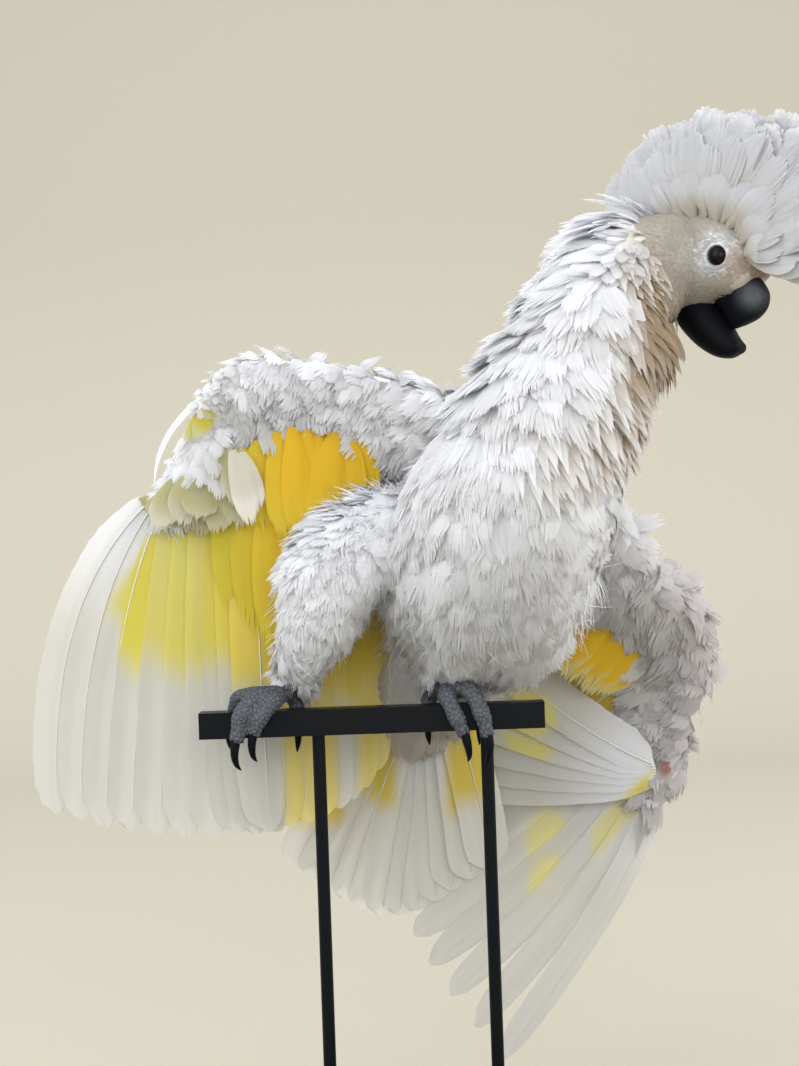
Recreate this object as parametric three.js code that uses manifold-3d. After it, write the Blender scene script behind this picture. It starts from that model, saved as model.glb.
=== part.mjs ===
// A white cockatoo, life-size, standing on a cut length of square bar with both wings opened,
// the neck stretched out to one side, the coat ruffled and the crest raised.
// Millimetres, +Z up, the bird faces -Y. The origin is the middle of the underside of the stand.
import * as THREE from "three";
import { mergeVertices } from "three/addons/utils/BufferGeometryUtils.js";
import Module from "manifold-3d";

const wasm = await Module();
wasm.setup();

// ---- driving dimensions -------------------------------------------------------------------
const GAP = 0.3; // parting gap between two pieces that touch
const BAR_SIDE = 13; // square perch bar
const BAR_MID_Z = 226.3; // height of the middle of the bar
const BAR_LEFT = -128;
const BAR_RIGHT = 44;
const ROD_RADIUS = 3.2;
const ROD_X = [-69, 15];
const BASE = { width: 300, depth: 220, height: 8, corner: 18 };
const AROUND = 18; // sides of the big lofts

// Directions of the head: forward along the face, up to the crown, and out to the bird's right.
const HEAD = {
  centre: new THREE.Vector3(134.4, -31.8, 444.8),
  forward: new THREE.Vector3(0.72, -0.562, -0.407),
  up: new THREE.Vector3(0.32, -0.25, 0.914),
  right: new THREE.Vector3(-0.616, -0.788, 0),
};

// Lofts: x, y, z of the middle of a section, half its width, half its depth.
const TRUNK = [
  [-31, 92, 186, 12, 4],
  [-21, 78, 212, 20, 10],
  [-9, 60, 239, 30, 18],
  [2, 36, 266, 43, 29],
  [12, 12, 287, 54, 42],
  [20, -6, 305, 59, 50],
  [33, -26, 333, 57, 50],
  [42, -37, 353, 53, 48],
  [50, -43, 371, 49, 43],
  [62, -47, 384, 48, 40],
];
const NECK = [
  [42, -37, 353, 52, 46],
  [50, -43, 371, 49, 43],
  [62, -47, 384, 49, 40],
  [74, -46, 398, 46, 38],
  [82, -42, 416, 47, 36],
  [88, -36, 434, 47, 34],
  [97, -30, 450, 42, 31],
  [108, -26, 463, 30, 24],
];
const TRUNK_WIDE = [0.896, 0, -0.445];
const NECK_WIDE = [0.79, 0, -0.61];
const NECK_PLANE = { normal: [0.42, -0.42, 0.8], point: [52, -44, 372] };
const FACE_PLANE = { normal: [0.85, -0.45, 0.2], point: [99.5, -55, 440] };

const THIGHS = {
  right: [
    [-20, 10, 322, 30, 24],
    [-50, -2, 318, 30, 26],
    [-63, -9, 298, 28, 24],
    [-69, -9, 277, 22, 19],
    [-74, 0, 261, 13, 13],
    [-78, 9, 252, 6.2, 6.2],
  ],
  left: [
    [20, 8, 300, 27, 24],
    [15, -6, 282, 28, 22],
    [7, -5, 266, 22, 18],
    [1, 4, 256, 13, 12],
    [-1, 12, 250, 6.2, 6.2],
  ],
};

// Feet: the shank, then each toe from the ball of the foot to its last joint, with its claw.
const FEET = {
  right: {
    shank: [
      [-78, 12, 257, 5],
      [-80, 10, 249, 4.6],
      [-85, 3, 241, 5.2],
      [-89, -1, 239.5, 5],
    ],
    toes: [
      [[-86, 1, 240, 4.6], [-83, 8, 240, 4.4], [-80, 12.4, 233, 4], [-79.5, 12.3, 226, 3.4]],
      [[-87, -3, 240, 4.8], [-90, -10, 238, 4.6], [-97, -12.6, 230, 4.2], [-100.6, -12, 222, 3.6]],
      [[-89, -2, 240, 4.8], [-98, -8, 240.5, 4.8], [-106, -12.8, 232, 4.5], [-109, -12.8, 219, 3.8]],
      [[-90, 1, 240, 4.6], [-101, 2.5, 240, 4.5], [-109, 8, 238, 4.3], [-113, 12.2, 228, 3.6]],
    ],
    claws: [
      [[-79.5, 12.1, 224.4], [-80, 12.6, 216], [-80.5, 9, 210.5]],
      [[-101, -11.9, 220.2], [-101, -11.4, 213], [-99.5, -8, 208.2]],
      [[-109.2, -12.7, 217], [-109.8, -11.6, 209.6], [-107.6, -7.6, 204.2]],
      [[-113.5, 12.4, 226.2], [-114.6, 11.8, 218], [-113.4, 8.4, 212]],
    ],
  },
  left: {
    shank: [
      [-1, 14, 256, 5],
      [-1, 11, 248, 4.6],
      [-1.5, 4, 241, 5.2],
      [-1, -1, 239.5, 5],
    ],
    toes: [
      [[-3, 1, 240, 4.6], [-10, 6, 240, 4.4], [-13, 12.2, 234, 4], [-13.6, 12.3, 227, 3.4]],
      [[-3, -3, 240, 4.8], [-4.6, -10, 237.6, 4.6], [0, -12.6, 227, 4.2], [3.6, -12, 218.4, 3.6]],
      [[0, -2, 240, 4.8], [7.4, -9, 239, 4.8], [12.4, -12.8, 228.6, 4.4], [15, -12.6, 217.6, 3.7]],
      [[0, 1, 240, 4.6], [7, 7, 240, 4.4], [10.6, 12.4, 233.6, 4], [11.6, 12.3, 226, 3.4]],
    ],
    claws: [
      [[-13.8, 12.1, 225.4], [-14, 12.4, 217.4], [-13.4, 9, 211.6]],
      [[4.2, -11.9, 216.6], [5.4, -11.2, 209.4], [5, -7.6, 204.6]],
      [[15.4, -12.5, 215.8], [15, -11.6, 208.4], [12.6, -7.8, 203.4]],
      [[11.8, 12.1, 224.4], [12.2, 12.6, 216.4], [11.6, 9, 210.8]],
    ],
  },
};

// Covert-clad part of each wing: leading edge, trailing edge and thickness of each section,
// from inside the shoulder out to the end of the hand.
const ARMS = {
  right: [
    [[14, -14, 384], [4, 30, 330], 24],
    [[-22, 2, 400], [-28, 36, 342], 23],
    [[-52, 6, 408], [-54, 36, 348], 21],
    [[-80, 8, 414], [-80, 33, 351], 20],
    [[-103, 8, 414], [-97, 30, 348], 19],
    [[-116, 10, 400], [-107, 30, 340], 15],
    [[-132, 15, 381], [-121, 31, 333], 12],
    [[-147, 23, 363], [-137, 33, 329], 8],
    [[-152, 28, 347], [-147, 34, 325], 4],
  ],
  left: [
    [[56, -12, 352], [36, 28, 322], 22],
    [[90, 10, 323], [60, 52, 290], 22],
    [[107, 30, 299], [74, 68, 268], 21],
    [[128, 50, 285], [90, 80, 250], 20],
    [[141, 62, 262], [97, 86, 234], 18],
    [[134, 70, 240], [99, 90, 216], 14],
    [[131, 76, 214], [99, 93, 194], 11],
    [[124, 80, 194], [98, 95, 177], 8],
    [[113, 85, 175], [98, 95, 167], 4],
  ],
};
const WRIST_AT = 4; // section where the forearm ends and the hand begins
const ELBOW_AT = 2;

// Feather fans: points along the line of roots, of the bends and of the tips.
const FANS = {
  primaries_right: {
    roots: [[-99, 16, 372], [-118, 20, 360], [-136, 26, 350], [-150, 29, 342]],
    bends: [[-99, 30, 270], [-126, 36, 272], [-172, 38, 278], [-229, 40, 292]],
    tips: [[-94, 34, 166], [-128, 36, 164], [-176, 42, 168], [-223, 46, 178]],
    feathers: 10,
  },
  secondaries_right: {
    roots: [[-24, 34, 352], [-50, 32, 356], [-76, 28, 362], [-97, 22, 366]],
    bends: [[-25, 62, 292], [-45, 52, 270], [-70, 40, 266], [-101, 31, 268]],
    tips: [[-22, 74, 232], [-43, 58, 190], [-66, 44, 173], [-97, 35, 166]],
    feathers: 11,
    rows: 3,
  },
  primaries_left: {
    roots: [[110, 78, 243], [115, 80, 222], [115, 83, 202], [112, 86, 180]],
    bends: [[58, 108, 196], [64, 106, 168], [84, 100, 148], [112, 93, 138]],
    tips: [[-26, 139, 163], [-34, 145, 118], [-16, 136, 70], [22, 117, 20]],
    feathers: 10,
    rows: 3,
  },
  secondaries_left: {
    roots: [[66, 50, 294], [80, 62, 276], [94, 72, 260], [106, 78, 246]],
    bends: [[48, 92, 262], [52, 98, 240], [56, 103, 220], [58, 108, 194]],
    tips: [[16, 108, 232], [2, 116, 210], [-14, 126, 188], [-28, 139, 160]],
    feathers: 9,
    rows: 3,
  },
  tail: {
    roots: [[-26, 64, 226], [-14, 66, 224], [0, 64, 226]],
    bends: [[-66, 94, 180], [-27, 99, 168], [14, 94, 178]],
    tips: [[-92, 122, 131], [-38, 138, 98], [20, 122, 127]],
    feathers: 12,
    rows: 3,
  },
};

// Crest, in the axes of the head (forward, up): line of roots and rim of the raised fan.
const CREST_ROOTS = [[23, 6], [20, 13], [12, 18], [3, 21], [-7, 22], [-17, 20], [-25, 15], [-31, 4]];
const CREST_RIM = [[56, 27], [61, 49], [46, 69], [19, 77], [-11, 73], [-38, 63], [-60, 45], [-73, 18]];

// ---- helpers -------------------------------------------------------------------------------
const vec = (p) => new THREE.Vector3(p[0], p[1], p[2]);
const headPoint = (forward, up, right = 0) =>
  HEAD.centre
    .clone()
    .addScaledVector(HEAD.forward, forward)
    .addScaledVector(HEAD.up, up)
    .addScaledVector(HEAD.right, right);

// A closed skin over rings of points, with a pole point at each end.
function ringStack(rings, firstPole, lastPole) {
  const n = rings[0].length;
  const points = rings.flat();
  const a = points.push(firstPole) - 1;
  const b = points.push(lastPole) - 1;
  const index = [];
  rings.slice(1).forEach((_, k) => {
    for (let i = 0; i < n; i++) {
      const j = (i + 1) % n;
      const lower = k * n;
      const upper = lower + n;
      index.push(lower + i, lower + j, upper + j, lower + i, upper + j, upper + i);
    }
  });
  const last = (rings.length - 1) * n;
  for (let i = 0; i < n; i++) {
    const j = (i + 1) % n;
    index.push(a, j, i, b, last + i, last + j);
  }
  return new THREE.BufferGeometry().setFromPoints(points).setIndex(index);
}

// three.js geometry to a manifold solid, turned the right way out.
function solid(geometry) {
  const g = geometry.clone();
  g.deleteAttribute("normal");
  g.deleteAttribute("uv");
  const merged = mergeVertices(g, 1e-4);
  const make = (tri) =>
    new wasm.Manifold(
      new wasm.Mesh({ numProp: 3, vertProperties: merged.attributes.position.array, triVerts: tri }),
    );
  const triVerts = new Uint32Array(merged.index.array);
  const made = make(triVerts);
  if (made.volume() >= 0) return made;
  for (let i = 0; i < triVerts.length; i += 3) {
    [triVerts[i + 1], triVerts[i + 2]] = [triVerts[i + 2], triVerts[i + 1]];
  }
  return make(triVerts);
}

// Elliptical sections strung along a smooth line; grow makes every section larger all round.
function loft(stations, { wide = [1, 0, 0], grow = 0, around = AROUND, between = 2 } = {}) {
  const line = new THREE.CatmullRomCurve3(stations.map(vec), false, "centripetal");
  const count = (stations.length - 1) * between;
  const rings = [];
  for (let s = 0; s <= count; s++) {
    const t = s / count;
    const at = Math.min(t * (stations.length - 1), stations.length - 1.0001);
    const k = Math.floor(at);
    const blend = at - k;
    const halfOf = (c) => THREE.MathUtils.lerp(stations[k][c], stations[k + 1][c], blend) + grow;
    const tangent = line.getTangent(t);
    const w = vec(wide).addScaledVector(tangent, -vec(wide).dot(tangent)).normalize();
    const d = new THREE.Vector3().crossVectors(tangent, w);
    const middle = line.getPoint(t);
    const halfDeep = stations[0].length > 4 ? halfOf(4) : halfOf(3);
    const ring = [];
    for (let i = 0; i < around; i++) {
      const angle = (2 * Math.PI * i) / around;
      ring.push(
        middle
          .clone()
          .addScaledVector(w, halfOf(3) * Math.cos(angle))
          .addScaledVector(d, halfDeep * Math.sin(angle)),
      );
    }
    rings.push(ring);
  }
  const half = stations[0].length > 4 ? 4 : 3;
  const capA = 0.55 * Math.min(stations[0][3], stations[0][half]) + grow;
  const capB = 0.55 * Math.min(stations.at(-1)[3], stations.at(-1)[half]) + grow;
  const poleA = line.getPoint(0).addScaledVector(line.getTangent(0), -capA);
  const poleB = line.getPoint(1).addScaledVector(line.getTangent(1), capB);
  return solid(ringStack(rings, poleA, poleB));
}

// Sections given by two opposite points and a half width across: jaws, head.
function paired(sections, { grow = 0, around = 12, power = 1 } = {}) {
  const rings = sections.map(([a, b, half]) => {
    const pa = headPoint(a[0], a[1]);
    const pb = headPoint(b[0], b[1]);
    const middle = pa.clone().add(pb).multiplyScalar(0.5);
    const along = pa.clone().sub(pb);
    const halfLong = along.length() / 2 + grow;
    along.normalize();
    const ring = [];
    for (let i = 0; i < around; i++) {
      const angle = (2 * Math.PI * i) / around;
      const c = Math.cos(angle);
      const s = Math.sin(angle);
      const round = (v) => Math.sign(v) * Math.abs(v) ** power;
      ring.push(
        middle
          .clone()
          .addScaledVector(along, halfLong * c)
          .addScaledVector(HEAD.right, (half + grow) * round(s)),
      );
    }
    return ring;
  });
  const mean = (ring) => ring.reduce((sum, p) => sum.add(p), new THREE.Vector3()).divideScalar(ring.length);
  const a = mean(rings[0]);
  const b = mean(rings.at(-1));
  const outA = a.clone().sub(mean(rings[1])).normalize();
  const outB = b.clone().sub(mean(rings.at(-2))).normalize();
  const capA = 0.4 * sections[0][2] + grow;
  const capB = 0.6 * sections.at(-1)[2] + grow;
  return solid(ringStack(rings, a.addScaledVector(outA, capA), b.addScaledVector(outB, capB)));
}

// One covert-clad stretch of wing: teardrop sections from leading to trailing edge.
function wingStretch(sections, from, to, grow = 0) {
  const count = (to - from) * 2;
  const curveOf = (pick) =>
    new THREE.CatmullRomCurve3(sections.map((s) => vec(pick(s))), false, "centripetal");
  const lead = curveOf((s) => s[0]);
  const rear = curveOf((s) => s[1]);
  const last = sections.length - 1;
  const rings = [];
  for (let s = 0; s <= count; s++) {
    const place = from + ((to - from) * s) / count;
    const front = lead.getPoint(place / last);
    const back = rear.getPoint(place / last);
    const k = Math.min(Math.floor(place), last - 1);
    const thick = THREE.MathUtils.lerp(sections[k][2], sections[k + 1][2], place - k) / 2;
    const span = lead.getTangent(place / last);
    const chord = back.clone().sub(front);
    const length = chord.length();
    chord.normalize();
    const normal = new THREE.Vector3().crossVectors(span, chord).normalize();
    const ring = [];
    const shape = [0, 0.12, 0.34, 0.62, 0.86, 1, 0.86, 0.62, 0.34, 0.12];
    const swell = [0, 0.8, 1, 0.62, 0.28, 0.0, -0.28, -0.62, -1, -0.8];
    shape.forEach((c, i) => {
      const side = swell[i] === 0 ? 0 : Math.sign(swell[i]);
      const ends = i === 0 ? -grow : i === 5 ? grow : 0;
      ring.push(
        front
          .clone()
          .addScaledVector(chord, c * length + ends)
          .addScaledVector(normal, thick * swell[i] + side * grow),
      );
    });
    rings.push(ring);
  }
  const mean = (ring) => ring.reduce((sum, p) => sum.add(p), new THREE.Vector3()).divideScalar(ring.length);
  const a = mean(rings[0]);
  const b = mean(rings.at(-1));
  const out = (ring, next) => mean(ring).sub(mean(next)).normalize();
  return solid(
    ringStack(
      rings,
      a.clone().addScaledVector(out(rings[0], rings[1]), grow + 0.01),
      b.clone().addScaledVector(out(rings.at(-1), rings.at(-2)), grow + 1.5),
    ),
  );
}

// A fan of overlapping quills as one thin sheet with a scalloped, shingled outline.
function featherFan({ roots, bends, tips, feathers, rows = 4 }, { grow = 0, root = 2.2, tip = 1.1 } = {}) {
  const curve = (pts) => new THREE.CatmullRomCurve3(pts.map(vec), false, "centripetal");
  const lines = [curve(roots), curve(bends), curve(tips)];
  const steps = [0.05, 0.32, 0.68, 0.95];
  const columns = [];
  for (let f = 0; f < feathers; f++) {
    steps.forEach((inside) => columns.push([(f + inside) / feathers, inside]));
  }
  const at = (s, v) => {
    const [p, q, r] = lines.map((l) => l.getPoint(THREE.MathUtils.clamp(s, 0, 1)));
    return p
      .multiplyScalar((1 - v) ** 2)
      .addScaledVector(q, 2 * v * (1 - v))
      .addScaledVector(r, v * v);
  };
  const top = [];
  const under = [];
  columns.forEach(([place, inside]) => {
    const s = place + Math.sign(inside - 0.5) * grow * 0.012;
    const reach = 1 - 0.075 * Math.abs(2 * inside - 1) ** 2 + grow * 0.004;
    for (let k = 0; k <= rows; k++) {
      const v = (k / rows) * reach;
      const p = at(s, v);
      const across = at(Math.min(s + 0.02, 1), v).sub(at(Math.max(s - 0.02, 0), v));
      const along = at(s, Math.min(v + 0.02, 1)).sub(at(s, Math.max(v - 0.02, 0)));
      const normal = new THREE.Vector3().crossVectors(across, along).normalize();
      const half = THREE.MathUtils.lerp(root, tip, Math.min(v * 1.3, 1)) / 2 + grow;
      const shingle = (inside - 0.5) * 1.5 * Math.min(1, v * 2);
      top.push(p.clone().addScaledVector(normal, half + shingle));
      under.push(p.clone().addScaledVector(normal, shingle - half));
    }
  });
  const n = rows + 1;
  const offset = top.length;
  const index = [];
  const quad = (a, b, c, d) => index.push(a, b, c, a, c, d);
  for (let c = 0; c < columns.length - 1; c++) {
    for (let k = 0; k < rows; k++) {
      const i = c * n + k;
      quad(i, i + 1, i + n + 1, i + n);
      quad(offset + i, offset + i + n, offset + i + n + 1, offset + i + 1);
    }
    const rootAt = c * n;
    const tipAt = c * n + rows;
    quad(rootAt, rootAt + n, offset + rootAt + n, offset + rootAt);
    quad(tipAt, offset + tipAt, offset + tipAt + n, tipAt + n);
  }
  const end = (columns.length - 1) * n;
  for (let k = 0; k < rows; k++) {
    quad(k, offset + k, offset + k + 1, k + 1);
    quad(end + k, end + k + 1, offset + end + k + 1, offset + end + k);
  }
  return solid(new THREE.BufferGeometry().setFromPoints([...top, ...under]).setIndex(index));
}

// The raised crest: a thick fan, fullest a third of the way out, with a scalloped rim.
function crestFan() {
  const curve = (pts) =>
    new THREE.CatmullRomCurve3(pts.map(([f, u]) => new THREE.Vector3(f, u, 0)), false, "centripetal");
  const roots = curve(CREST_ROOTS);
  const rim = curve(CREST_RIM);
  const plumes = 10;
  const columns = plumes * 3;
  const outs = [0, 0.3, 0.65, 1];
  const halves = [15, 22, 18, 2.4];
  const rings = [];
  for (let c = 0; c <= columns; c++) {
    const s = c / columns;
    const phase = Math.abs(2 * ((s * plumes) % 1) - 1);
    const reach = 1 - 0.09 * phase ** 2;
    const edge = Math.min(1, 0.25 + 5 * Math.min(s, 1 - s));
    const a = roots.getPoint(s);
    const b = rim.getPoint(s);
    const side = (sign) =>
      outs.map((v, i) => {
        const p = a.clone().lerp(b, v * reach);
        return headPoint(p.x, p.y, sign * halves[i] * edge);
      });
    rings.push([...side(1), ...side(-1).reverse()]);
  }
  const mean = (ring) => ring.reduce((sum, p) => sum.add(p), new THREE.Vector3()).divideScalar(ring.length);
  return solid(ringStack(rings, mean(rings[0]), mean(rings.at(-1))));
}

function largest(body) {
  if (body.isEmpty()) throw new Error("empty piece");
  return body.decompose().sort((a, b) => b.volume() - a.volume())[0];
}

function cutPlane(body, { normal, point }, side, gap) {
  const n = vec(normal).normalize();
  const away = n.dot(vec(point));
  return side > 0
    ? body.trimByPlane([n.x, n.y, n.z], away + gap / 2)
    : body.trimByPlane([-n.x, -n.y, -n.z], -away + gap / 2);
}

function box(x0, x1, y0, y1, z0, z1) {
  const g = new THREE.BoxGeometry(x1 - x0, y1 - y0, z1 - z0);
  return solid(g.translate((x0 + x1) / 2, (y0 + y1) / 2, (z0 + z1) / 2));
}

const ball = (centre, radius, around = 12) =>
  solid(new THREE.SphereGeometry(radius, around, around / 2 + 2).translate(centre.x, centre.y, centre.z));

const COLOURS = {
  plumage: 0xf4f3ee,
  yellow: 0xf2d33a,
  horn: 0x26282b,
  eye: 0x14110f,
  scale: 0x5d6468,
  steel: 0x16171a,
};
const bird = new THREE.Group();
bird.name = "white_cockatoo";

function addNode(name, body, colour) {
  const m = body.getMesh();
  const points = new Float32Array(m.numVert * 3);
  for (let i = 0; i < m.numVert; i++) {
    points.set(m.vertProperties.subarray(i * m.numProp, i * m.numProp + 3), i * 3);
  }
  const geometry = new THREE.BufferGeometry();
  geometry.setAttribute("position", new THREE.BufferAttribute(points, 3));
  geometry.setIndex(new THREE.BufferAttribute(new Uint32Array(m.triVerts), 1));
  geometry.computeVertexNormals();
  const material = new THREE.MeshStandardMaterial({ color: COLOURS[colour], flatShading: true });
  const mesh = new THREE.Mesh(geometry, material);
  mesh.name = name;
  bird.add(mesh);
}

// ---- stand and perch -----------------------------------------------------------------------
const half = BAR_SIDE / 2;
const barAt = (g) =>
  box(BAR_LEFT - g, BAR_RIGHT + g, -half - g, half + g, BAR_MID_Z - half - g, BAR_MID_Z + half + g);
addNode("perch_bar", barAt(0), "steel");

const { width, depth, height, corner } = BASE;
const plate = new THREE.Shape();
plate.absarc(width / 2 - corner, depth / 2 - corner, corner, 0, Math.PI / 2);
plate.absarc(corner - width / 2, depth / 2 - corner, corner, Math.PI / 2, Math.PI);
plate.absarc(corner - width / 2, corner - depth / 2, corner, Math.PI, 1.5 * Math.PI);
plate.absarc(width / 2 - corner, corner - depth / 2, corner, 1.5 * Math.PI, 2 * Math.PI);
const plateGeometry = new THREE.ExtrudeGeometry(plate, { depth: height, bevelEnabled: false, curveSegments: 6 });
addNode("stand_base", solid(plateGeometry), "steel");
["left", "right"].forEach((side, i) => {
  const low = height + GAP;
  const high = BAR_MID_Z - half - GAP;
  const rod = new THREE.CylinderGeometry(ROD_RADIUS, ROD_RADIUS, high - low, 16);
  rod.rotateX(Math.PI / 2).translate(ROD_X[i], 0, (high + low) / 2);
  addNode("stand_rod_" + side, solid(rod), "steel");
});

// ---- head ----------------------------------------------------------------------------------
const HEAD_SECTIONS = [
  [[-34, 4], [-33, -14], 11],
  [[-29, 15], [-27, -24], 18],
  [[-19, 22], [-17, -31], 22.5],
  [[-7, 25], [-7, -34], 23],
  [[4, 24.5], [2, -24], 22],
  [[13, 20.5], [9, -17], 19.5],
  [[20, 13.5], [15, -13], 15.5],
  [[24.5, 5], [20, -9], 9.5],
];
const UPPER_BILL = [
  [[14, -1], [3, -19], 9.2],
  [[24, -2.4], [8, -21.5], 9.6],
  [[30, -5.8], [12, -23], 9],
  [[33.8, -12], [16, -24.2], 7.8],
  [[34, -18.6], [19, -25.6], 6.2],
  [[31, -24.6], [20.6, -27.6], 4.2],
  [[26, -29], [21.4, -29.8], 2.4],
];
const LOWER_BILL = [
  [[-6, -22], [-6, -35], 9.6],
  [[-1, -21.5], [-1, -37], 10.4],
  [[7, -24], [8, -41], 10.6],
  [[15, -27.6], [16, -42.5], 9.6],
  [[21, -30.6], [22, -41], 7.6],
  [[25, -32], [26, -37.4], 5],
];
const EYE_RADIUS = 6.2;
const eyeCentre = { right: headPoint(8, 3, 17.2), left: headPoint(8, 3, -17.2) };
const headShape = (g) => paired(HEAD_SECTIONS, { grow: g, around: 16, power: 0.92 });
const upperShape = (g) => paired(UPPER_BILL, { grow: g, around: 12 });
const lowerShape = (g) => paired(LOWER_BILL, { grow: g, around: 12 });
const head = largest(
  headShape(0)
    .subtract(upperShape(GAP))
    .subtract(lowerShape(GAP))
    .subtract(ball(eyeCentre.right, EYE_RADIUS + GAP))
    .subtract(ball(eyeCentre.left, EYE_RADIUS + GAP)),
);
addNode("head", head, "plumage");
addNode("bill_upper", upperShape(0), "horn");
addNode("bill_lower", largest(lowerShape(0).subtract(upperShape(GAP))), "horn");
addNode("eye_right", ball(eyeCentre.right, EYE_RADIUS), "eye");
addNode("eye_left", ball(eyeCentre.left, EYE_RADIUS), "eye");

// ---- trunk and neck ------------------------------------------------------------------------
const trunkShape = (g) =>
  cutPlane(loft(TRUNK, { wide: TRUNK_WIDE, grow: g, between: 1 }), NECK_PLANE, -1, GAP - 2 * g);
const neckShape = (g) => {
  const whole = loft(NECK, { wide: NECK_WIDE, grow: g, between: 1 });
  return cutPlane(cutPlane(whole, NECK_PLANE, 1, GAP - 2 * g), FACE_PLANE, -1, -2 * g);
};
const neck = largest(neckShape(0).subtract(headShape(GAP)).subtract(lowerShape(GAP)));
addNode("trunk", trunkShape(0), "plumage");
addNode("neck", neck, "plumage");
addNode("crest", largest(crestFan().subtract(headShape(GAP)).subtract(neckShape(GAP))), "plumage");

// ---- legs ----------------------------------------------------------------------------------
const thighShape = (side, g) => loft(THIGHS[side], { wide: [1, 0, 0.1], grow: g, around: 14 });
const CLAW_RADIUS = 2.1;
["right", "left"].forEach((side) => {
  const thigh = largest(thighShape(side, 0).subtract(trunkShape(GAP)));
  addNode("thigh_" + side, thigh, "plumage");
  const { shank, toes, claws } = FEET[side];
  let foot = loft(shank, { around: 8, between: 1 });
  toes.forEach((toe) => {
    foot = foot.add(loft(toe, { around: 8, between: 1 }));
  });
  let trimmed = foot.subtract(barAt(GAP)).subtract(thighShape(side, GAP)).subtract(trunkShape(GAP));
  claws.forEach((claw, i) => {
    const radii = [CLAW_RADIUS, CLAW_RADIUS * 0.8, 0.5];
    const clawAt = (g) =>
      loft(claw.map((p, k) => [...p, radii[k]]), { grow: g, around: 7, between: 2 });
    trimmed = trimmed.subtract(clawAt(GAP));
    addNode("claw_" + side + "_" + (i + 1), largest(clawAt(0).subtract(barAt(GAP))), "horn");
  });
  addNode("foot_" + side, largest(trimmed), "scale");
});

// ---- wings and tail ------------------------------------------------------------------------
function clearOfBody(body, ...more) {
  let left = body.subtract(trunkShape(GAP)).subtract(neckShape(GAP));
  more.forEach((other) => {
    left = left.subtract(other);
  });
  return largest(left);
}
const tailCut = featherFan(FANS.tail, { grow: GAP });
["right", "left"].forEach((side) => {
  const sections = ARMS[side];
  const stretch = (from, to, g) => wingStretch(sections, from, to, g);
  const end = sections.length - 1;
  const thighCut = thighShape(side, GAP);
  const upper = clearOfBody(stretch(0, ELBOW_AT, 0), thighCut);
  const upperCut = stretch(0, ELBOW_AT, GAP);
  const fore = clearOfBody(stretch(ELBOW_AT, WRIST_AT, 0), upperCut, thighCut);
  const foreCut = stretch(ELBOW_AT, WRIST_AT, GAP);
  const hand = clearOfBody(stretch(WRIST_AT, end, 0), foreCut, upperCut);
  const handCut = stretch(WRIST_AT, end, GAP);
  addNode("upper_arm_" + side, upper, "plumage");
  addNode("forearm_" + side, fore, "plumage");
  addNode("hand_" + side, hand, "plumage");
  const primaryFan = FANS["primaries_" + side];
  const primaries = clearOfBody(featherFan(primaryFan), handCut, foreCut, tailCut, thighCut);
  const secondaries = clearOfBody(
    featherFan(FANS["secondaries_" + side]),
    handCut,
    foreCut,
    upperCut,
    tailCut,
    thighCut,
    featherFan(primaryFan, { grow: GAP }),
  );
  addNode("primaries_" + side, primaries, "yellow");
  addNode("secondaries_" + side, secondaries, "yellow");
});
addNode("tail", clearOfBody(featherFan(FANS.tail, { tip: 1.6 })), "yellow");

export default bird;
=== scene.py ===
import math

import bmesh
import bpy
import numpy as np
from mathutils import Matrix, Vector, kdtree
from mathutils.bvhtree import BVHTree


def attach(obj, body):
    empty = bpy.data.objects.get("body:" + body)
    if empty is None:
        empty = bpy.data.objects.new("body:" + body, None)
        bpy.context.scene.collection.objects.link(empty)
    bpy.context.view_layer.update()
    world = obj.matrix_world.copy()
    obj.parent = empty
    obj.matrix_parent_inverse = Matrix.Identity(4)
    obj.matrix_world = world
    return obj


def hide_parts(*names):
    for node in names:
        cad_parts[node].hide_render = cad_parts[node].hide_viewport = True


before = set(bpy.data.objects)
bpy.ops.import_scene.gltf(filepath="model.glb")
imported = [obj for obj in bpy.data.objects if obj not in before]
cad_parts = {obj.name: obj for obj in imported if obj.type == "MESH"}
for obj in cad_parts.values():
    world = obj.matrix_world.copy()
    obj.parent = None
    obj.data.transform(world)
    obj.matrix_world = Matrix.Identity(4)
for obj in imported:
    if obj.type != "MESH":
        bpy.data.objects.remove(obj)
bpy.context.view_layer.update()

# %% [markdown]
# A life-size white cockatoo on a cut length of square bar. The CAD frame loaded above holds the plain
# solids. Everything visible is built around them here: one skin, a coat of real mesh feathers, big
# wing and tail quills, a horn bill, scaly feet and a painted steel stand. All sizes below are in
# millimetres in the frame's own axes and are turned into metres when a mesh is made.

MM = 0.001


def unit(v):
    v = np.asarray(v, float)
    return v / np.maximum(np.linalg.norm(v, axis=-1, keepdims=True), 1e-9)


def smooth_line(points, count):
    """A smooth run of `count` rows through the given rows; extra columns such as widths follow along."""
    p = np.asarray(points, float)
    t = np.linspace(0, len(p) - 1, count)
    k = np.clip(t.astype(int), 0, len(p) - 2)
    f = (t - k)[:, None]
    pad = np.vstack([2 * p[0] - p[1], p, 2 * p[-1] - p[-2]])
    a, b, c, d = pad[k], pad[k + 1], pad[k + 2], pad[k + 3]
    return 0.5 * (2 * b + (c - a) * f + (2 * a - 5 * b + 4 * c - d) * f**2 + (3 * b - a - 3 * c + d) * f**3)


# %% [markdown]
# Every mesh goes through one small function that takes numpy arrays. It is much faster than adding
# faces one by one, which matters when a coat has tens of thousands of feathers.

# %% From arrays to a mesh object
def place_in_scene(thing):
    bpy.context.scene.collection.objects.link(thing)
    return thing


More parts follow.
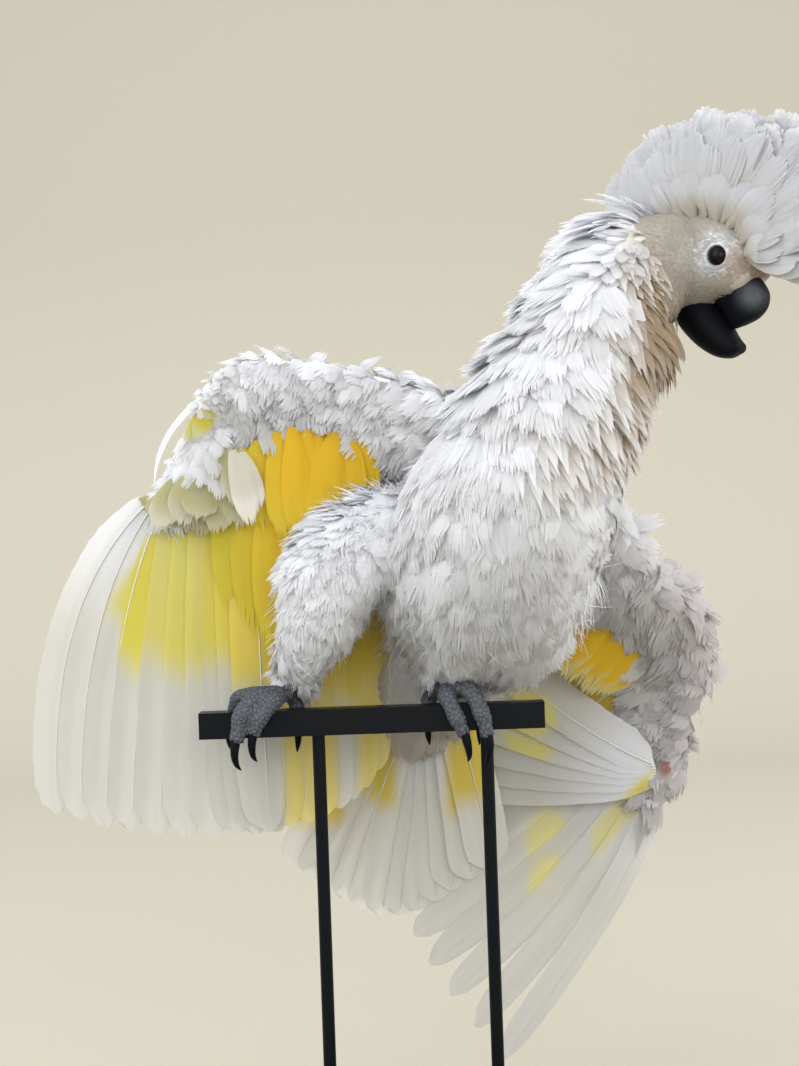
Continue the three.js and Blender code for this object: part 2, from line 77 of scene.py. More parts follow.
def build_piece(name, points, faces, material, uvs=None, colours=None, normals=None):
    """points in mm, faces as an (n, k) array, uvs as {name: (points, 2)}, colours and normals per point."""
    mesh = bpy.data.meshes.new(name)
    faces = np.asarray(faces, np.int32)
    sides = faces.shape[1]
    mesh.vertices.add(len(points))
    mesh.vertices.foreach_set("co", (np.asarray(points, np.float32) * MM).ravel())
    mesh.loops.add(faces.size)
    mesh.loops.foreach_set("vertex_index", faces.ravel())
    mesh.polygons.add(len(faces))
    mesh.polygons.foreach_set("loop_start", np.arange(len(faces), dtype=np.int32) * sides)
    mesh.polygons.foreach_set("use_smooth", np.ones(len(faces), bool))
    for uv_name, uv in (uvs or {}).items():
        layer = mesh.uv_layers.new(name=uv_name)
        layer.data.foreach_set("uv", np.asarray(uv, np.float32)[faces.ravel()].ravel())
    if colours is not None:
        tint = mesh.color_attributes.new("plume", "FLOAT_COLOR", "POINT")
        rgba = np.ones((len(points), 4), np.float32)
        rgba[:, :3] = colours
        tint.data.foreach_set("color", rgba.ravel())
    mesh.update(calc_edges=True)
    mesh.validate()
    if normals is not None:
        mesh.normals_split_custom_set_from_vertices(np.asarray(normals, np.float32))
    piece = place_in_scene(bpy.data.objects.new(name, mesh))
    mesh.materials.append(material)
    return piece


def face_outwards(mesh):
    """Turn the faces of a closed mesh the way out."""
    bm = bmesh.new()
    bm.from_mesh(mesh)
    bmesh.ops.recalc_face_normals(bm, faces=bm.faces)
    bm.to_mesh(mesh)
    bm.free()


def seat(piece, slot_name, *nodes):
    """The piece rides on the one rigid body and stands for its CAD nodes; slot_name is not used."""
    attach(piece, "root")
    if nodes:
        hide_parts(*nodes)
    return piece


def grid_faces(rows, columns, wrap=False):
    """Quads of a rows x columns grid of points, with the last column joined to the first if wrapped."""
    last = columns if wrap else columns - 1
    r, c = np.meshgrid(np.arange(rows - 1), np.arange(last), indexing="ij")
    n = (c + 1) % columns
    return np.stack(
        [r * columns + c, r * columns + n, (r + 1) * columns + n, (r + 1) * columns + c], -1,
    ).reshape(-1, 4)


# %% [markdown]
# Finishes. White feathers are never plain white: the vane is ruled by fine barbs, the shaft of a quill
# shows as a faint rib, and thin vanes let light through. The colours themselves are painted per point
# on the feathers and the skin, so that both carry the same markings; the nodes add barbs and sheen.

# %% Node helpers
def new_finish(name):
    material = bpy.data.materials.new(name)
    material.use_nodes = True
    nodes = material.node_tree.nodes
    return material, nodes, material.node_tree.links, nodes["Principled BSDF"]


def set_inputs(node, values):
    """Give inputs of a node their constant values, by name or number."""
    for key, value in values.items():
        node.inputs[key].default_value = value


def add_node(nodes, kind, values=None, **settings):
    node = nodes.new("ShaderNode" + kind)
    for key, value in settings.items():
        setattr(node, key, value)
    set_inputs(node, values or {})
    return node


def join(links, *pairs):
    for source, target in pairs:
        links.new(source, target)


def two_tones(nodes, low, high, low_at=0.0, high_at=1.0):
    """A ramp from one colour to another."""
    tones = add_node(nodes, "ValToRGB")
    for stop, at, tone in zip(tones.color_ramp.elements, (low_at, high_at), (low, high)):
        stop.position = at
        stop.color = (*tone, 1)
    return tones


def mottled_finish(name, scale, low, high, roughness, specular=0.5, bump=0.0, object_space=False):
    """A hard finish that wanders between two close tones, with a fine bump where one is given."""
    material, nodes, links, shader = new_finish(name)
    grain = add_node(nodes, "TexNoise", {"Scale": scale})
    tones = two_tones(nodes, low, high)
    join(links, (grain.outputs[0], tones.inputs[0]), (tones.outputs[0], shader.inputs["Base Color"]))
    if bump:
        peel = add_node(nodes, "Bump", {"Strength": bump, "Distance": 0.0002})
        join(links, (grain.outputs[0], peel.inputs["Height"]), (peel.outputs[0], shader.inputs["Normal"]))
    if object_space:
        place = add_node(nodes, "TexCoord")
        links.new(place.outputs["Object"], grain.inputs["Vector"])
    set_inputs(shader, {"Roughness": roughness, "Specular IOR Level": specular})
    return material


# %% Feather finish
BARB_SLANT = -0.55  # how far the barbs lean towards the tip, per half width of the vane
BARB_DEPTH = 0.0002
SHAFT_HALF = (0.012, 0.03)  # where the rib starts to fade and where it ends, as shares of the width
RIB_TONE = (0.93, 0.92, 0.88, 1)


def feather_finish(name, barbs, see_through, roughness, rib):
    material, nodes, links, shader = new_finish(name)
    tint = add_node(nodes, "Attribute", attribute_name="plume")
    place = add_node(nodes, "UVMap", uv_map="Vane")
    split = add_node(nodes, "SeparateXYZ")
    off_axis = add_node(nodes, "Math", {1: 0.5}, operation="SUBTRACT")
    side = add_node(nodes, "Math", operation="ABSOLUTE")
    slant = add_node(nodes, "Math", {1: BARB_SLANT}, operation="MULTIPLY_ADD")
    wobble = add_node(nodes, "TexNoise", {"Scale": 260})
    shift = add_node(nodes, "Math", {1: 0.03}, operation="MULTIPLY_ADD")
    ruled = add_node(nodes, "Math", {1: barbs}, operation="MULTIPLY")
    wave = add_node(nodes, "Math", operation="SINE")
    shade = add_node(nodes, "MapRange", {"From Min": -1, "To Min": 0.95, "To Max": 1.0})
    ruled_tint = add_node(nodes, "Mix", {"Factor": 1}, data_type="RGBA", blend_type="MULTIPLY")
    fade = {"From Min": SHAFT_HALF[0], "From Max": SHAFT_HALF[1], "To Min": rib, "To Max": 0}
    rib_mask = add_node(nodes, "MapRange", fade)
    ribbed = add_node(nodes, "Mix", {7: RIB_TONE}, data_type="RGBA")
    bump = add_node(nodes, "Bump", {"Strength": 0.1, "Distance": BARB_DEPTH})
    through = add_node(nodes, "BsdfTranslucent")
    both = add_node(nodes, "MixShader", {0: see_through})
    join(
        links,
        (place.outputs[0], split.inputs[0]), (split.outputs[0], off_axis.inputs[0]),
        (off_axis.outputs[0], side.inputs[0]),
        (side.outputs[0], slant.inputs[0]), (split.outputs[1], slant.inputs[2]),
        (wobble.outputs[0], shift.inputs[0]),
        (slant.outputs[0], shift.inputs[2]), (shift.outputs[0], ruled.inputs[0]),
        (ruled.outputs[0], wave.inputs[0]),
        (wave.outputs[0], shade.inputs["Value"]), (tint.outputs["Color"], ruled_tint.inputs[6]),
        (shade.outputs[0], ruled_tint.inputs[7]), (side.outputs[0], rib_mask.inputs["Value"]),
        (rib_mask.outputs[0], ribbed.inputs["Factor"]), (ruled_tint.outputs[2], ribbed.inputs[6]),
        (ribbed.outputs[2], shader.inputs["Base Color"]), (wave.outputs[0], bump.inputs["Height"]),
        (bump.outputs[0], shader.inputs["Normal"]), (ribbed.outputs[2], through.inputs["Color"]),
        (shader.outputs[0], both.inputs[1]), (through.outputs[0], both.inputs[2]),
        (both.outputs[0], nodes["Material Output"].inputs["Surface"]),
    )
    gloss = {"Roughness": roughness, "Specular IOR Level": 0.25, "Sheen Weight": 0.15, "Sheen Roughness": 0.6}
    set_inputs(shader, gloss)
    return material


soft_plume = feather_finish("soft_white_plume", 560, 0.58, 0.8, rib=0.0)
quill_plume = feather_finish("quill_vane", 900, 0.48, 0.6, rib=0.05)
down_plume = feather_finish("white_down", 40, 0.45, 0.85, rib=0.0)
print("feather finishes made")

# %% [markdown]
# The body is laid out as limbs: a middle line with a half width and a half depth at each station, set
# a coat's depth inside the CAD solids where feathers grow. They are used three times: to make the skin,
# to know which part of the bird a point belongs to, and to unwrap the skin part by part for the
# feathers' colour map.

# %% Head axes and the stations of every limb
HEAD_AT = np.array([134.4, -31.8, 444.8])
FACE = unit([0.72, -0.562, -0.407])
CROWN = unit([0.32, -0.25, 0.914])
RIGHT = unit([-0.616, -0.788, 0.0])


def in_head(forward, up, right=0.0):
    """Points of the frame from the head's own axes."""
    turned = HEAD_AT + np.multiply.outer(forward, FACE) + np.multiply.outer(up, CROWN)
    return turned + np.multiply.outer(right, RIGHT)


LIMBS = {
    "body": dict(
        wide=(0.87, 0, -0.5),
        stations=[
            (-22, 78, 210, 8, 5), (-16, 69, 223, 14, 9), (-7, 56, 243, 21, 14), (4, 35, 267, 33, 23),
            (13, 11, 288, 43, 34), (21, -6, 306, 47, 39), (33, -25, 332, 46, 40), (42, -35, 352, 40, 36),
            (51, -42, 370, 33, 30), (62, -45, 385, 28, 25),
        ],
    ),
    "neck": dict(
        wide=(0.79, 0, -0.61),
        stations=[
            (52, -43, 377, 31, 27), (63, -45, 392, 29, 24), (74, -43, 411, 27, 21), (86, -38, 429, 27, 21),
            (98, -34, 441, 25, 20.5), (110, -31, 446, 22, 20), (121, -29, 446, 19, 18),
            (129, -28, 445, 12, 12),
        ],
    ),
    "thigh_right": dict(
        wide=(1, 0, 0.1),
        stations=[
            (-12, 10, 318, 21, 19), (-40, 0, 317, 20, 17), (-60, -9, 298, 18, 15), (-68, -8, 277, 13, 11),
            (-74, 1, 262, 7.5, 7.5), (-78, 11, 254, 5, 5),
        ],
    ),
    "thigh_left": dict(
        wide=(1, 0, 0.1),
        stations=[
            (20, 10, 298, 20, 18), (14, -4, 282, 19, 15), (7, -3, 267, 14, 11), (1, 5, 257, 8, 8),
            (-1, 13, 252, 5, 5),
        ],
    ),
}
FEET = {
    "right": dict(
        shank=[(-78, 12, 257, 4.6), (-80, 10, 249, 4.2), (-85, 3, 241.5, 4.8), (-89, -1, 240, 4.8)],
        toes=[
            [(-86, 1, 240.4, 4.5), (-83, 8, 240, 4.2), (-80, 12.6, 233, 3.9), (-79.5, 12.5, 225.6, 3.2)],
            [
                (-87, -3, 240.4, 4.7), (-90, -10, 238.2, 4.4), (-97, -12.8, 230, 4.1),
                (-100.8, -12.2, 221.6, 3.3),
            ],
            [
                (-89, -2, 240.4, 4.8), (-98, -8, 240.6, 4.6), (-106, -12.9, 232, 4.3),
                (-109, -12.9, 218.4, 3.5),
            ],
            [(-90, 1, 240.4, 4.5), (-101, 2.5, 240.2, 4.3), (-109, 8, 238, 4.1), (-113.2, 12.4, 227.6, 3.3)],
        ],
        claws=[
            [(-79.5, 12.3, 228), (-79.8, 13.4, 220), (-80.2, 12.2, 214), (-80.5, 9, 210.5)],
            [(-100.4, -12.3, 224), (-101.4, -13.2, 217), (-101, -11.6, 211.5), (-99.5, -8, 208.2)],
            [(-109, -13, 221), (-110, -13.6, 213), (-109.4, -11.4, 207.6), (-107.6, -7.6, 204.2)],
            [(-113, 12.2, 230), (-114.8, 13, 222), (-114.8, 11.6, 216), (-113.4, 8.4, 212)],
        ],
    ),
    "left": dict(
        shank=[(-1, 14, 256, 4.6), (-1, 11, 248, 4.2), (-1.5, 4, 241.5, 4.8), (-1, -1, 240, 4.8)],
        toes=[
            [(-3, 1, 240.4, 4.5), (-10, 6, 240.2, 4.2), (-13, 12.4, 234, 3.9), (-13.6, 12.5, 226.6, 3.2)],
            [(-3, -3, 240.4, 4.7), (-4.6, -10, 237.8, 4.4), (0, -12.8, 227, 4.1), (3.7, -12.2, 218, 3.3)],
            [(0, -2, 240.4, 4.8), (7.4, -9, 239.2, 4.6), (12.4, -12.9, 228.6, 4.2), (15, -12.7, 217, 3.4)],
            [(0, 1, 240.4, 4.5), (7, 7, 240.2, 4.2), (10.6, 12.6, 233.6, 3.9), (11.6, 12.5, 225.6, 3.2)],
        ],
        claws=[
            [(-13.6, 12.3, 229), (-14, 13.4, 221), (-13.9, 12, 215), (-13.4, 9, 211.6)],
            [(3.4, -12.4, 220), (5, -13.2, 213.4), (5.6, -11.2, 208), (5, -7.6, 204.6)],
            [(15, -12.8, 219.6), (15.8, -13.6, 212), (14.8, -11.4, 206.6), (12.6, -7.8, 203.4)],
            [(11.7, 12.3, 228), (12.1, 13.4, 220), (12, 12, 214), (11.6, 9, 210.8)],
        ],
    ),
}
ARMS = {
    "right": [
        ((14, -14, 384), (4, 30, 330), 24), ((-22, 2, 400), (-28, 36, 342), 23),
        ((-52, 6, 408), (-54, 36, 348), 21),
        ((-80, 8, 414), (-80, 33, 351), 20), ((-103, 8, 414), (-97, 30, 348), 19),
        ((-110, 12, 398), (-107, 30, 340), 15),
        ((-121, 17, 377), (-119, 31, 333), 12), ((-134, 24, 359), (-134, 33, 329), 8),
        ((-143, 28, 345), (-144, 34, 325), 4),
    ],
    "left": [
        ((56, -12, 352), (36, 28, 322), 22), ((90, 10, 323), (60, 52, 290), 22),
        ((107, 30, 299), (74, 68, 268), 21),
        ((128, 50, 285), (90, 80, 250), 20), ((141, 62, 262), (97, 86, 234), 18),
        ((134, 70, 240), (99, 90, 216), 14),
        ((131, 76, 214), (99, 93, 194), 11), ((124, 80, 194), (98, 95, 177), 8),
        ((113, 85, 175), (98, 95, 167), 4),
    ],
}


# %% Rings along a limb
def limb_rings(centre, wide, half_wide, half_deep, around):
    """Elliptical rings; wide is one direction or one per ring. Returns ring points and the ring axes."""
    run = unit(np.gradient(centre, axis=0))
    wide = np.broadcast_to(np.asarray(wide, float), centre.shape)
    w = unit(wide - (wide * run).sum(1)[:, None] * run)
    d = np.cross(run, w)
    angle = np.linspace(0, 2 * np.pi, around, endpoint=False)
    ring = (
        centre[:, None]
        + (half_wide[:, None] * np.cos(angle))[..., None] * w[:, None]
        + (half_deep[:, None] * np.sin(angle))[..., None] * d[:, None]
    )
    return ring, run, w, d


limb_store = {}
for limb_name, limb in LIMBS.items():
    line = smooth_line(limb["stations"], 48)
    ring, run, w, d = limb_rings(line[:, :3], limb["wide"], line[:, 3], line[:, 4], 32)
    limb_store[limb_name] = dict(
        line=line[:, :3], run=run, w=w, d=d, size=(line[:, 3] + line[:, 4]) / 2, ring=ring,
    )
for side, sections in ARMS.items():
    lead = smooth_line([s[0] for s in sections], 48)
    rear = smooth_line([s[1] for s in sections], 48)
    thick = smooth_line([(s[2],) for s in sections], 48)[:, 0]
    chord = rear - lead
    long = np.linalg.norm(chord, axis=1)
    chord = unit(chord)
    front = lead + chord * 6
    back = rear - chord * (long * 0.16)[:, None]
    ring, run, w, d = limb_rings(
        (front + back) / 2, chord, np.linalg.norm(back - front, axis=1) / 2, np.maximum(thick - 9, 3) / 2, 32,
    )
    limb_store["arm_" + side] = dict(
        line=(front + back) / 2, run=run, w=w, d=d, size=np.linalg.norm(back - front, axis=1) / 2, ring=ring,
        lead=lead, rear=rear,
    )
print("limbs:", ", ".join(limb_store))

# %% [markdown]
# The head follows the same idea, but its sections are set in the head's own axes (forward along the
# face, up to the crown, out to the right), because the head is turned and tipped on the neck.

# %% Head sections and the jaws' outlines
HEAD_SECTIONS = [
    ((-31, 3), (-30, -12), 11), ((-27, 12.5), (-25, -22), 17), ((-18, 19.5), (-16, -28), 20.8),
    ((-7, 22.5), (-7, -31), 21.8),
    ((4, 22), (2, -23), 21.2), ((13, 18.6), (9, -17.5), 19.2), ((20, 12), (15, -14), 15.4),
    ((24, 4.4), (19.6, -10), 10),
]


def head_rings(sections, count, around, power=1.0):
    rows = smooth_line([(a[0], a[1], b[0], b[1], half) for a, b, half in sections], count)
    top, low, half = rows[:, :2], rows[:, 2:4], rows[:, 4]
    middle, along = (top + low) / 2, (top - low) / 2
    angle = np.linspace(0, 2 * np.pi, around, endpoint=False)
    across = np.sign(np.sin(angle)) * np.abs(np.sin(angle)) ** power
    flat = middle[:, None] + np.cos(angle)[None, :, None] * along[:, None]
    return in_head(flat[..., 0], flat[..., 1], half[:, None] * across[None])


head_ring = head_rings(HEAD_SECTIONS, 30, 36, 0.94)
limb_store["head"] = dict(
    line=in_head(np.linspace(-26, 20, 48), np.linspace(-4, -2, 48)), run=np.tile(FACE, (48, 1)),
    w=np.tile(RIGHT, (48, 1)),
    d=np.tile(np.cross(FACE, RIGHT), (48, 1)), size=np.full(48, 19.0), ring=head_ring,
)

# %% [markdown]
# The skin. All the limbs are simple closed tubes that run into each other. A voxel remesh melts them
# into one closed surface with no seams, and smoothing softens the joins as muscle and fat would.

# %% One skin from all the limbs
def closed_tube(ring):
    rows, around, _ = ring.shape
    points = ring.reshape(-1, 3)
    faces = [tuple(f) for f in grid_faces(rows, around, wrap=True)]
    faces.append(tuple(range(around))[::-1])
    faces.append(tuple(range((rows - 1) * around, rows * around)))
    return points, faces


def toe_ring(rows, around=14, count=26):
    line = smooth_line(rows, count)
    wide = unit(np.cross(np.gradient(line[:, :3], axis=0), [0.3, 1.0, 0.2]))
    swell = 1 + 0.07 * np.cos(np.linspace(0, 3 * 2 * np.pi, count))
    ring, *_ = limb_rings(line[:, :3], wide, line[:, 3] * swell, line[:, 3] * swell * 0.94, around)
    return ring


tubes = [s["ring"] for s in limb_store.values()]
for side in ("right", "left"):
    tubes.append(toe_ring(FEET[side]["shank"]))
    tubes += [toe_ring(toe) for toe in FEET[side]["toes"]]
skin_mesh = bpy.data.meshes.new("skin")
points, faces = [], []
for ring in tubes:
    p, f = closed_tube(ring)
    faces += [tuple(int(i) + len(points) for i in face) for face in f]
    points += [tuple(v) for v in p * MM]
skin_mesh.from_pydata(points, [], faces)
skin_mesh.update()
skin = place_in_scene(bpy.data.objects.new("skin", skin_mesh))
face_outwards(skin_mesh)


def apply_modifiers(piece):
    graph = bpy.context.evaluated_depsgraph_get()
    baked = bpy.data.meshes.new_from_object(piece.evaluated_get(graph))
    piece.modifiers.clear()
    old = piece.data
    piece.data = baked
    bpy.data.meshes.remove(old)


SKIN_CELL = 1.3
melt = skin.modifiers.new("melt", "REMESH")
melt.mode = "VOXEL"
melt.voxel_size = SKIN_CELL * MM
soften = skin.modifiers.new("soften", "SMOOTH")
soften.factor = 0.5
soften.iterations = 8
apply_modifiers(skin)
print("skin faces:", len(skin.data.polygons))

# %% [markdown]
# Detail where skin shows: round the eyes and on the feet. The faces there are split finer, and the
# points are then moved by simple rules. Round each eye a lid rim, a groove and fine ring wrinkles are
# raised by distance from the eye; on the feet every point rides up on the nearest of many little
# scales, deepest in the cracks between them.

# %% Finer faces at the eyes and feet
EYE_RADIUS = 6.2
eye_at = {"right": in_head(8.0, 3.0, 15.6), "left": in_head(8.0, 3.0, -15.6)}
eye_out = {"right": RIGHT, "left": -RIGHT}


def point_array(mesh):
    co = np.empty(len(mesh.vertices) * 3)
    mesh.vertices.foreach_get("co", co)
    return co.reshape(-1, 3) / MM


def normal_array(mesh):
    no = np.empty(len(mesh.vertices) * 3)
    mesh.vertex_normals.foreach_get("vector", no)
    return no.reshape(-1, 3)


def on_foot(p):
    z = p[..., 2]
    near_right = np.abs(p[..., 0] + 95) < 28
    near_left = np.abs(p[..., 0] - 1) < 24
    return (z < 250.5) & (np.abs(p[..., 1]) < 24) & (near_right | near_left)


def refine(mesh, chosen, cuts):
    bm = bmesh.new()
    bm.from_mesh(mesh)
    bm.verts.ensure_lookup_table()
    centre = np.array([f.calc_center_median() for f in bm.faces]) / MM
    picked = [f for f, yes in zip(bm.faces, chosen(centre)) if yes]
    edges = list({e for f in picked for e in f.edges})
    bmesh.ops.subdivide_edges(bm, edges=edges, cuts=cuts, use_grid_fill=True, smooth=0.5)
    bmesh.ops.triangulate(bm, faces=[f for f in bm.faces if len(f.verts) > 4])
    bm.to_mesh(mesh)
    bm.free()


def eye_gap(p):
    """Distance to the nearer eye."""
    return np.min([np.linalg.norm(p - at, axis=-1) for at in eye_at.values()], axis=0)


def near_an_eye(p):
    return eye_gap(p) < 13.5


refine(skin.data, on_foot, 1)
refine(skin.data, near_an_eye, 2)
print("skin faces after refining:", len(skin.data.polygons))

# %% Lids and wrinkles
EYE_OPENING, LID_RING, LID_THICK = 4.75, 4.7, 0.35
rng = np.random.default_rng(11)
p = point_array(skin.data)
n = normal_array(skin.data)
for side, out in eye_out.items():
    rel = p - eye_at[side]
    depth = rel @ out
    flat = rel - depth[:, None] * out
    r = np.linalg.norm(flat, axis=1)
    angle = np.arctan2(flat @ CROWN, flat @ FACE)
    inside = (r < 13) & (depth > -5)
    open_r = EYE_OPENING - 0.35 * np.abs(np.sin(angle))
    lid_depth = math.sqrt(EYE_RADIUS**2 - LID_RING**2) + LID_THICK
    ease = np.clip((r - open_r) / 7.0, 0, 1)
    ease = ease * ease * (3 - 2 * ease)
    rim = 0.75 * np.exp(-(((r - open_r - 0.75) / 0.55) ** 2))
    folds = 0.16 * np.sin((r - open_r) * 4.4 + 0.5 * np.sin(angle * 5))
    folds = folds * np.clip((r - 5.8) / 1, 0, 1) * np.clip((10 - r) / 2, 0, 1)
    crow = 0.10 * np.sin(angle * 17 + r)
    crow = crow * np.clip((r - 5.6) / 1, 0, 1) * np.clip((9.5 - r) / 2, 0, 1)
    target = (1 - ease) * lid_depth + ease * depth + rim + folds + crow
    socket = lid_depth - 3.4 * np.sqrt(np.clip(1 - r / open_r, 0, 1)) - 0.6
    target = np.where(r < open_r, socket, target)
    p[inside] += ((target - depth)[:, None] * out)[inside]

# %% Scales on the feet
SCALE_TRIES, SCALE_GAP, CRACK_WIDTH = 2600, 1.35, 0.75
SCALE_RISE, CRACK_DEPTH = 0.55, 0.22


def tree_of(points):
    tree = kdtree.KDTree(len(points))
    for i, at in enumerate(points):
        tree.insert(at, i)
    tree.balance()
    return tree


foot_points = np.nonzero(on_foot(p))[0]
seeds = p[rng.choice(foot_points, SCALE_TRIES, replace=False)] + rng.normal(0, 0.1, (SCALE_TRIES, 3))
seed_tree = tree_of(seeds)
keep = []
taken = np.zeros(len(seeds), bool)
for i, at in enumerate(seeds):
    if not taken[i]:
        keep.append(i)
        for _, j, _ in seed_tree.find_range(at, SCALE_GAP):
            taken[j] = True
scales = tree_of(seeds[keep])
scale_top = np.zeros(len(p))
for i in foot_points:
    (_, _, d1), (_, _, d2) = scales.find_n(p[i], 2)
    scale_top[i] = min(1.0, (d2 - d1) / CRACK_WIDTH)
    p[i] += n[i] * (SCALE_RISE * scale_top[i] - CRACK_DEPTH)
skin.data.vertices.foreach_set("co", (p * MM).astype(np.float32).ravel())
skin.data.update()
print("scales on the feet:", len(keep))

# %% [markdown]
# Where is a point on the bird? The nearest limb, how far along it and how far round it answer that.
# The same three numbers unwrap the skin: each limb has its own cell of a 3 x 3 sheet, with the angle
# round the limb across the cell and the way along it up the cell.

# %% Place on the bird and on the sheet
LIMB_NAMES = list(limb_store)


def place_on_bird(p):
    best = np.full(len(p), np.inf)
    limb, along, turn = np.zeros(len(p), int), np.zeros(len(p)), np.zeros(len(p))
    for i, s in enumerate(limb_store.values()):
        gap = np.linalg.norm(p[:, None, ::1] - s["line"][None, ::2], axis=2)
        j = gap.argmin(1) * 2
        rel = p - s["line"][j]
        score = gap.min(1) / np.maximum(s["size"][j], 4) + (0.15 if i == 0 else 0)
        a = np.arctan2((rel * s["d"][j]).sum(1), (rel * s["w"][j]).sum(1)) / (2 * np.pi) + 0.5
        t = np.clip((j + (rel * s["run"][j]).sum(1) / 4) / 47, 0, 1)
        win = score < best
        best[win], limb[win], along[win], turn[win] = score[win], i, t[win], a[win]
    return limb, along, turn


def sheet_place(p):
    limb, along, turn = place_on_bird(p)
    u = (limb % 3 + 0.06 + 0.88 * turn) / 3
    v = (limb // 3 + 0.06 + 0.88 * along) / 3
    return np.stack([u, v], 1)


def ramp(x, low, high):
    t = np.clip((x - low) / (high - low), 0, 1)
    return t * t * (3 - 2 * t)


def head_places(p):
    rel = p - HEAD_AT
    return rel @ FACE, rel @ CROWN, rel @ RIGHT


# %% [markdown]
# One colour rule for skin and coat. White plumage is cool and bright on the nape and breast, and
# egg-yolk to lemon yellow on the hidden undersides of wing and tail. Painted shade makes it warm
# beige-grey on the cheek, paler grey by the eye and browner before it, greyer on the belly down, and
# beige under the vent with a painted reflection of yellow. The throat is tan, partly stained by food
# under the jaw and partly painted shade between the vanes.

# %% The markings and the painted shade
SNOW = np.array([0.925, 0.93, 0.945])
CHEEK = np.array([0.575, 0.525, 0.43])
LORE = np.array([0.66, 0.55, 0.46])
TAN = np.array([0.42, 0.31, 0.19])
GREY = np.array([0.62, 0.61, 0.61])
YOLK = np.array([0.80, 0.57, 0.03])
LEMON = np.array([0.67, 0.60, 0.07])
PALE_LEMON = np.array([0.66, 0.63, 0.36])


def blend(a, b, k):
    return a * (1 - k[..., None]) + b * k[..., None]


def one_tone(points, tone):
    """The same colour for every point of a pack of vanes."""
    return np.tile(np.asarray(tone, float), points.shape[:3] + (1,))


def face_edge(up):
    """How far back the short feathers of the face reach, by height on the head."""
    return np.interp(up, [-36, -31, -20, 0, 10, 22], [12, 4, -22, -29, -31, -22])


def plumage_colour(p, cheek_share=1.0):
    """Colour of the body coat whose feathers are rooted at p."""
    f, u, r = head_places(p)
    reach = np.sqrt(f**2 + (u + 2) ** 2 + (r * 0.6) ** 2)
    colour = np.tile(SNOW, (len(p), 1))
    # Painted shade: the face is warm beige-grey, paler grey by the eye and browner before it.
    cheek = cheek_share * ramp(reach, 42, 36) * ramp(f - face_edge(u), -3, 2) * ramp(u, 25, 19)
    colour = blend(colour, CHEEK * 0.93, 0.9 * cheek)
    pale = ramp(np.hypot(f - 8, u - 3), 16, 8) * cheek
    colour = blend(colour, np.array([0.60, 0.62, 0.64]), 0.6 * pale)
    lore = ramp(np.hypot(f - 20, u - 1), 14, 5) * cheek
    colour = blend(colour, LORE, 0.7 * lore)
    # Tan under the jaw: partly a food stain, partly painted shade between the vanes.
    throat = ramp(np.abs(f + 5) + 0.8 * np.abs(u + 34), 24, 6) * ramp(u, -14, -26)
    colour = blend(colour, TAN, 0.7 * throat)
    # Painted shade: the lower belly is greyer.
    shade = ramp(p[:, 2], 270, 215) * ramp(p[:, 0], -45, -15)
    colour = blend(colour, GREY, 0.35 * shade)
    # Painted shade under the vent, with a painted reflection of yellow.
    vent = ramp(p[:, 2], 262, 238) * ramp(p[:, 0], -52, -40) * ramp(p[:, 0], 28, 12)
    return blend(colour, np.array([0.66, 0.58, 0.46]), 0.5 * vent)


def right_wing_yellow(p, jitter):
    """Yellow of the right wing's underside by place: 0 white .. 1 yellow, and 0 lemon .. 1 yolk."""
    x, z = p[..., 0], p[..., 2]
    fade = np.interp(x, [-182, -165, -140, -110, -80, -50], [286, 268, 253, 240, 236, 232]) + jitter * 1.3
    front = -149 - 0.8 * (325.5 - z) + jitter * 0.3
    amount = ramp(z, fade - 14, fade + 14) * ramp(x, front - 7, front + 7)
    return amount, ramp(x, -136, -82)


# %% [markdown]
# Skin finish: the coat's own colours, painted shade included, a little warmer, a grey-blue bare ring
# round the eye with a dark lid edge, and dark blue-grey feet whose scale tops are painted paler, partly
# at random and partly as a painted highlight. The rule is painted per point, and noise in the nodes
# gives the pores.

# %% Paint and dress the skin
SKIN_WARMTH = np.array([0.97, 0.95, 0.93])
RING_BLUE = np.array([0.42, 0.45, 0.48])
LID_DARK = np.array([0.10, 0.10, 0.11])
CERE_DARK = np.array([0.16, 0.16, 0.17])
FOOT_DARK = np.array([0.022, 0.025, 0.030])
FOOT_SCALE_LIGHT = np.array([0.078, 0.087, 0.098])
p = point_array(skin.data)
tone = plumage_colour(p) * SKIN_WARMTH
for side, out in eye_out.items():
    rel = p - eye_at[side]
    depth = rel @ out
    r = np.linalg.norm(rel - depth[:, None] * out, axis=1)
    near = ((depth > -5) & (r < 14))[:, None]
    tone = np.where(near, blend(tone, RING_BLUE, 0.75 * ramp(r, 9.5, 7)), tone)
    tone = np.where(near, blend(tone, LID_DARK, 0.8 * ramp(r, 5.5, 4.9)), tone)
f, u, r = head_places(p)
cere = ramp(np.hypot(f - 19, u + 2), 13, 8) * ramp(f, 12, 16)
tone = blend(tone, CERE_DARK, 0.35 * cere)
foot = on_foot(p) | ((p[:, 2] < 256) & (p[:, 1] < 20) & (p[:, 2] > 200))
# Painted highlight, with a random share: each scale's top is paler than the cracks.
scale_light = np.clip(scale_top**1.5 * (0.55 + 0.45 * rng.random(len(p))), 0, 1)
tone = np.where(foot[:, None], blend(np.tile(FOOT_DARK, (len(p), 1)), FOOT_SCALE_LIGHT, scale_light), tone)
paint = skin.data.color_attributes.new("plume", "FLOAT_COLOR", "POINT")
rgba = np.ones((len(p), 4), np.float32)
rgba[:, :3] = tone
paint.data.foreach_set("color", rgba.ravel())

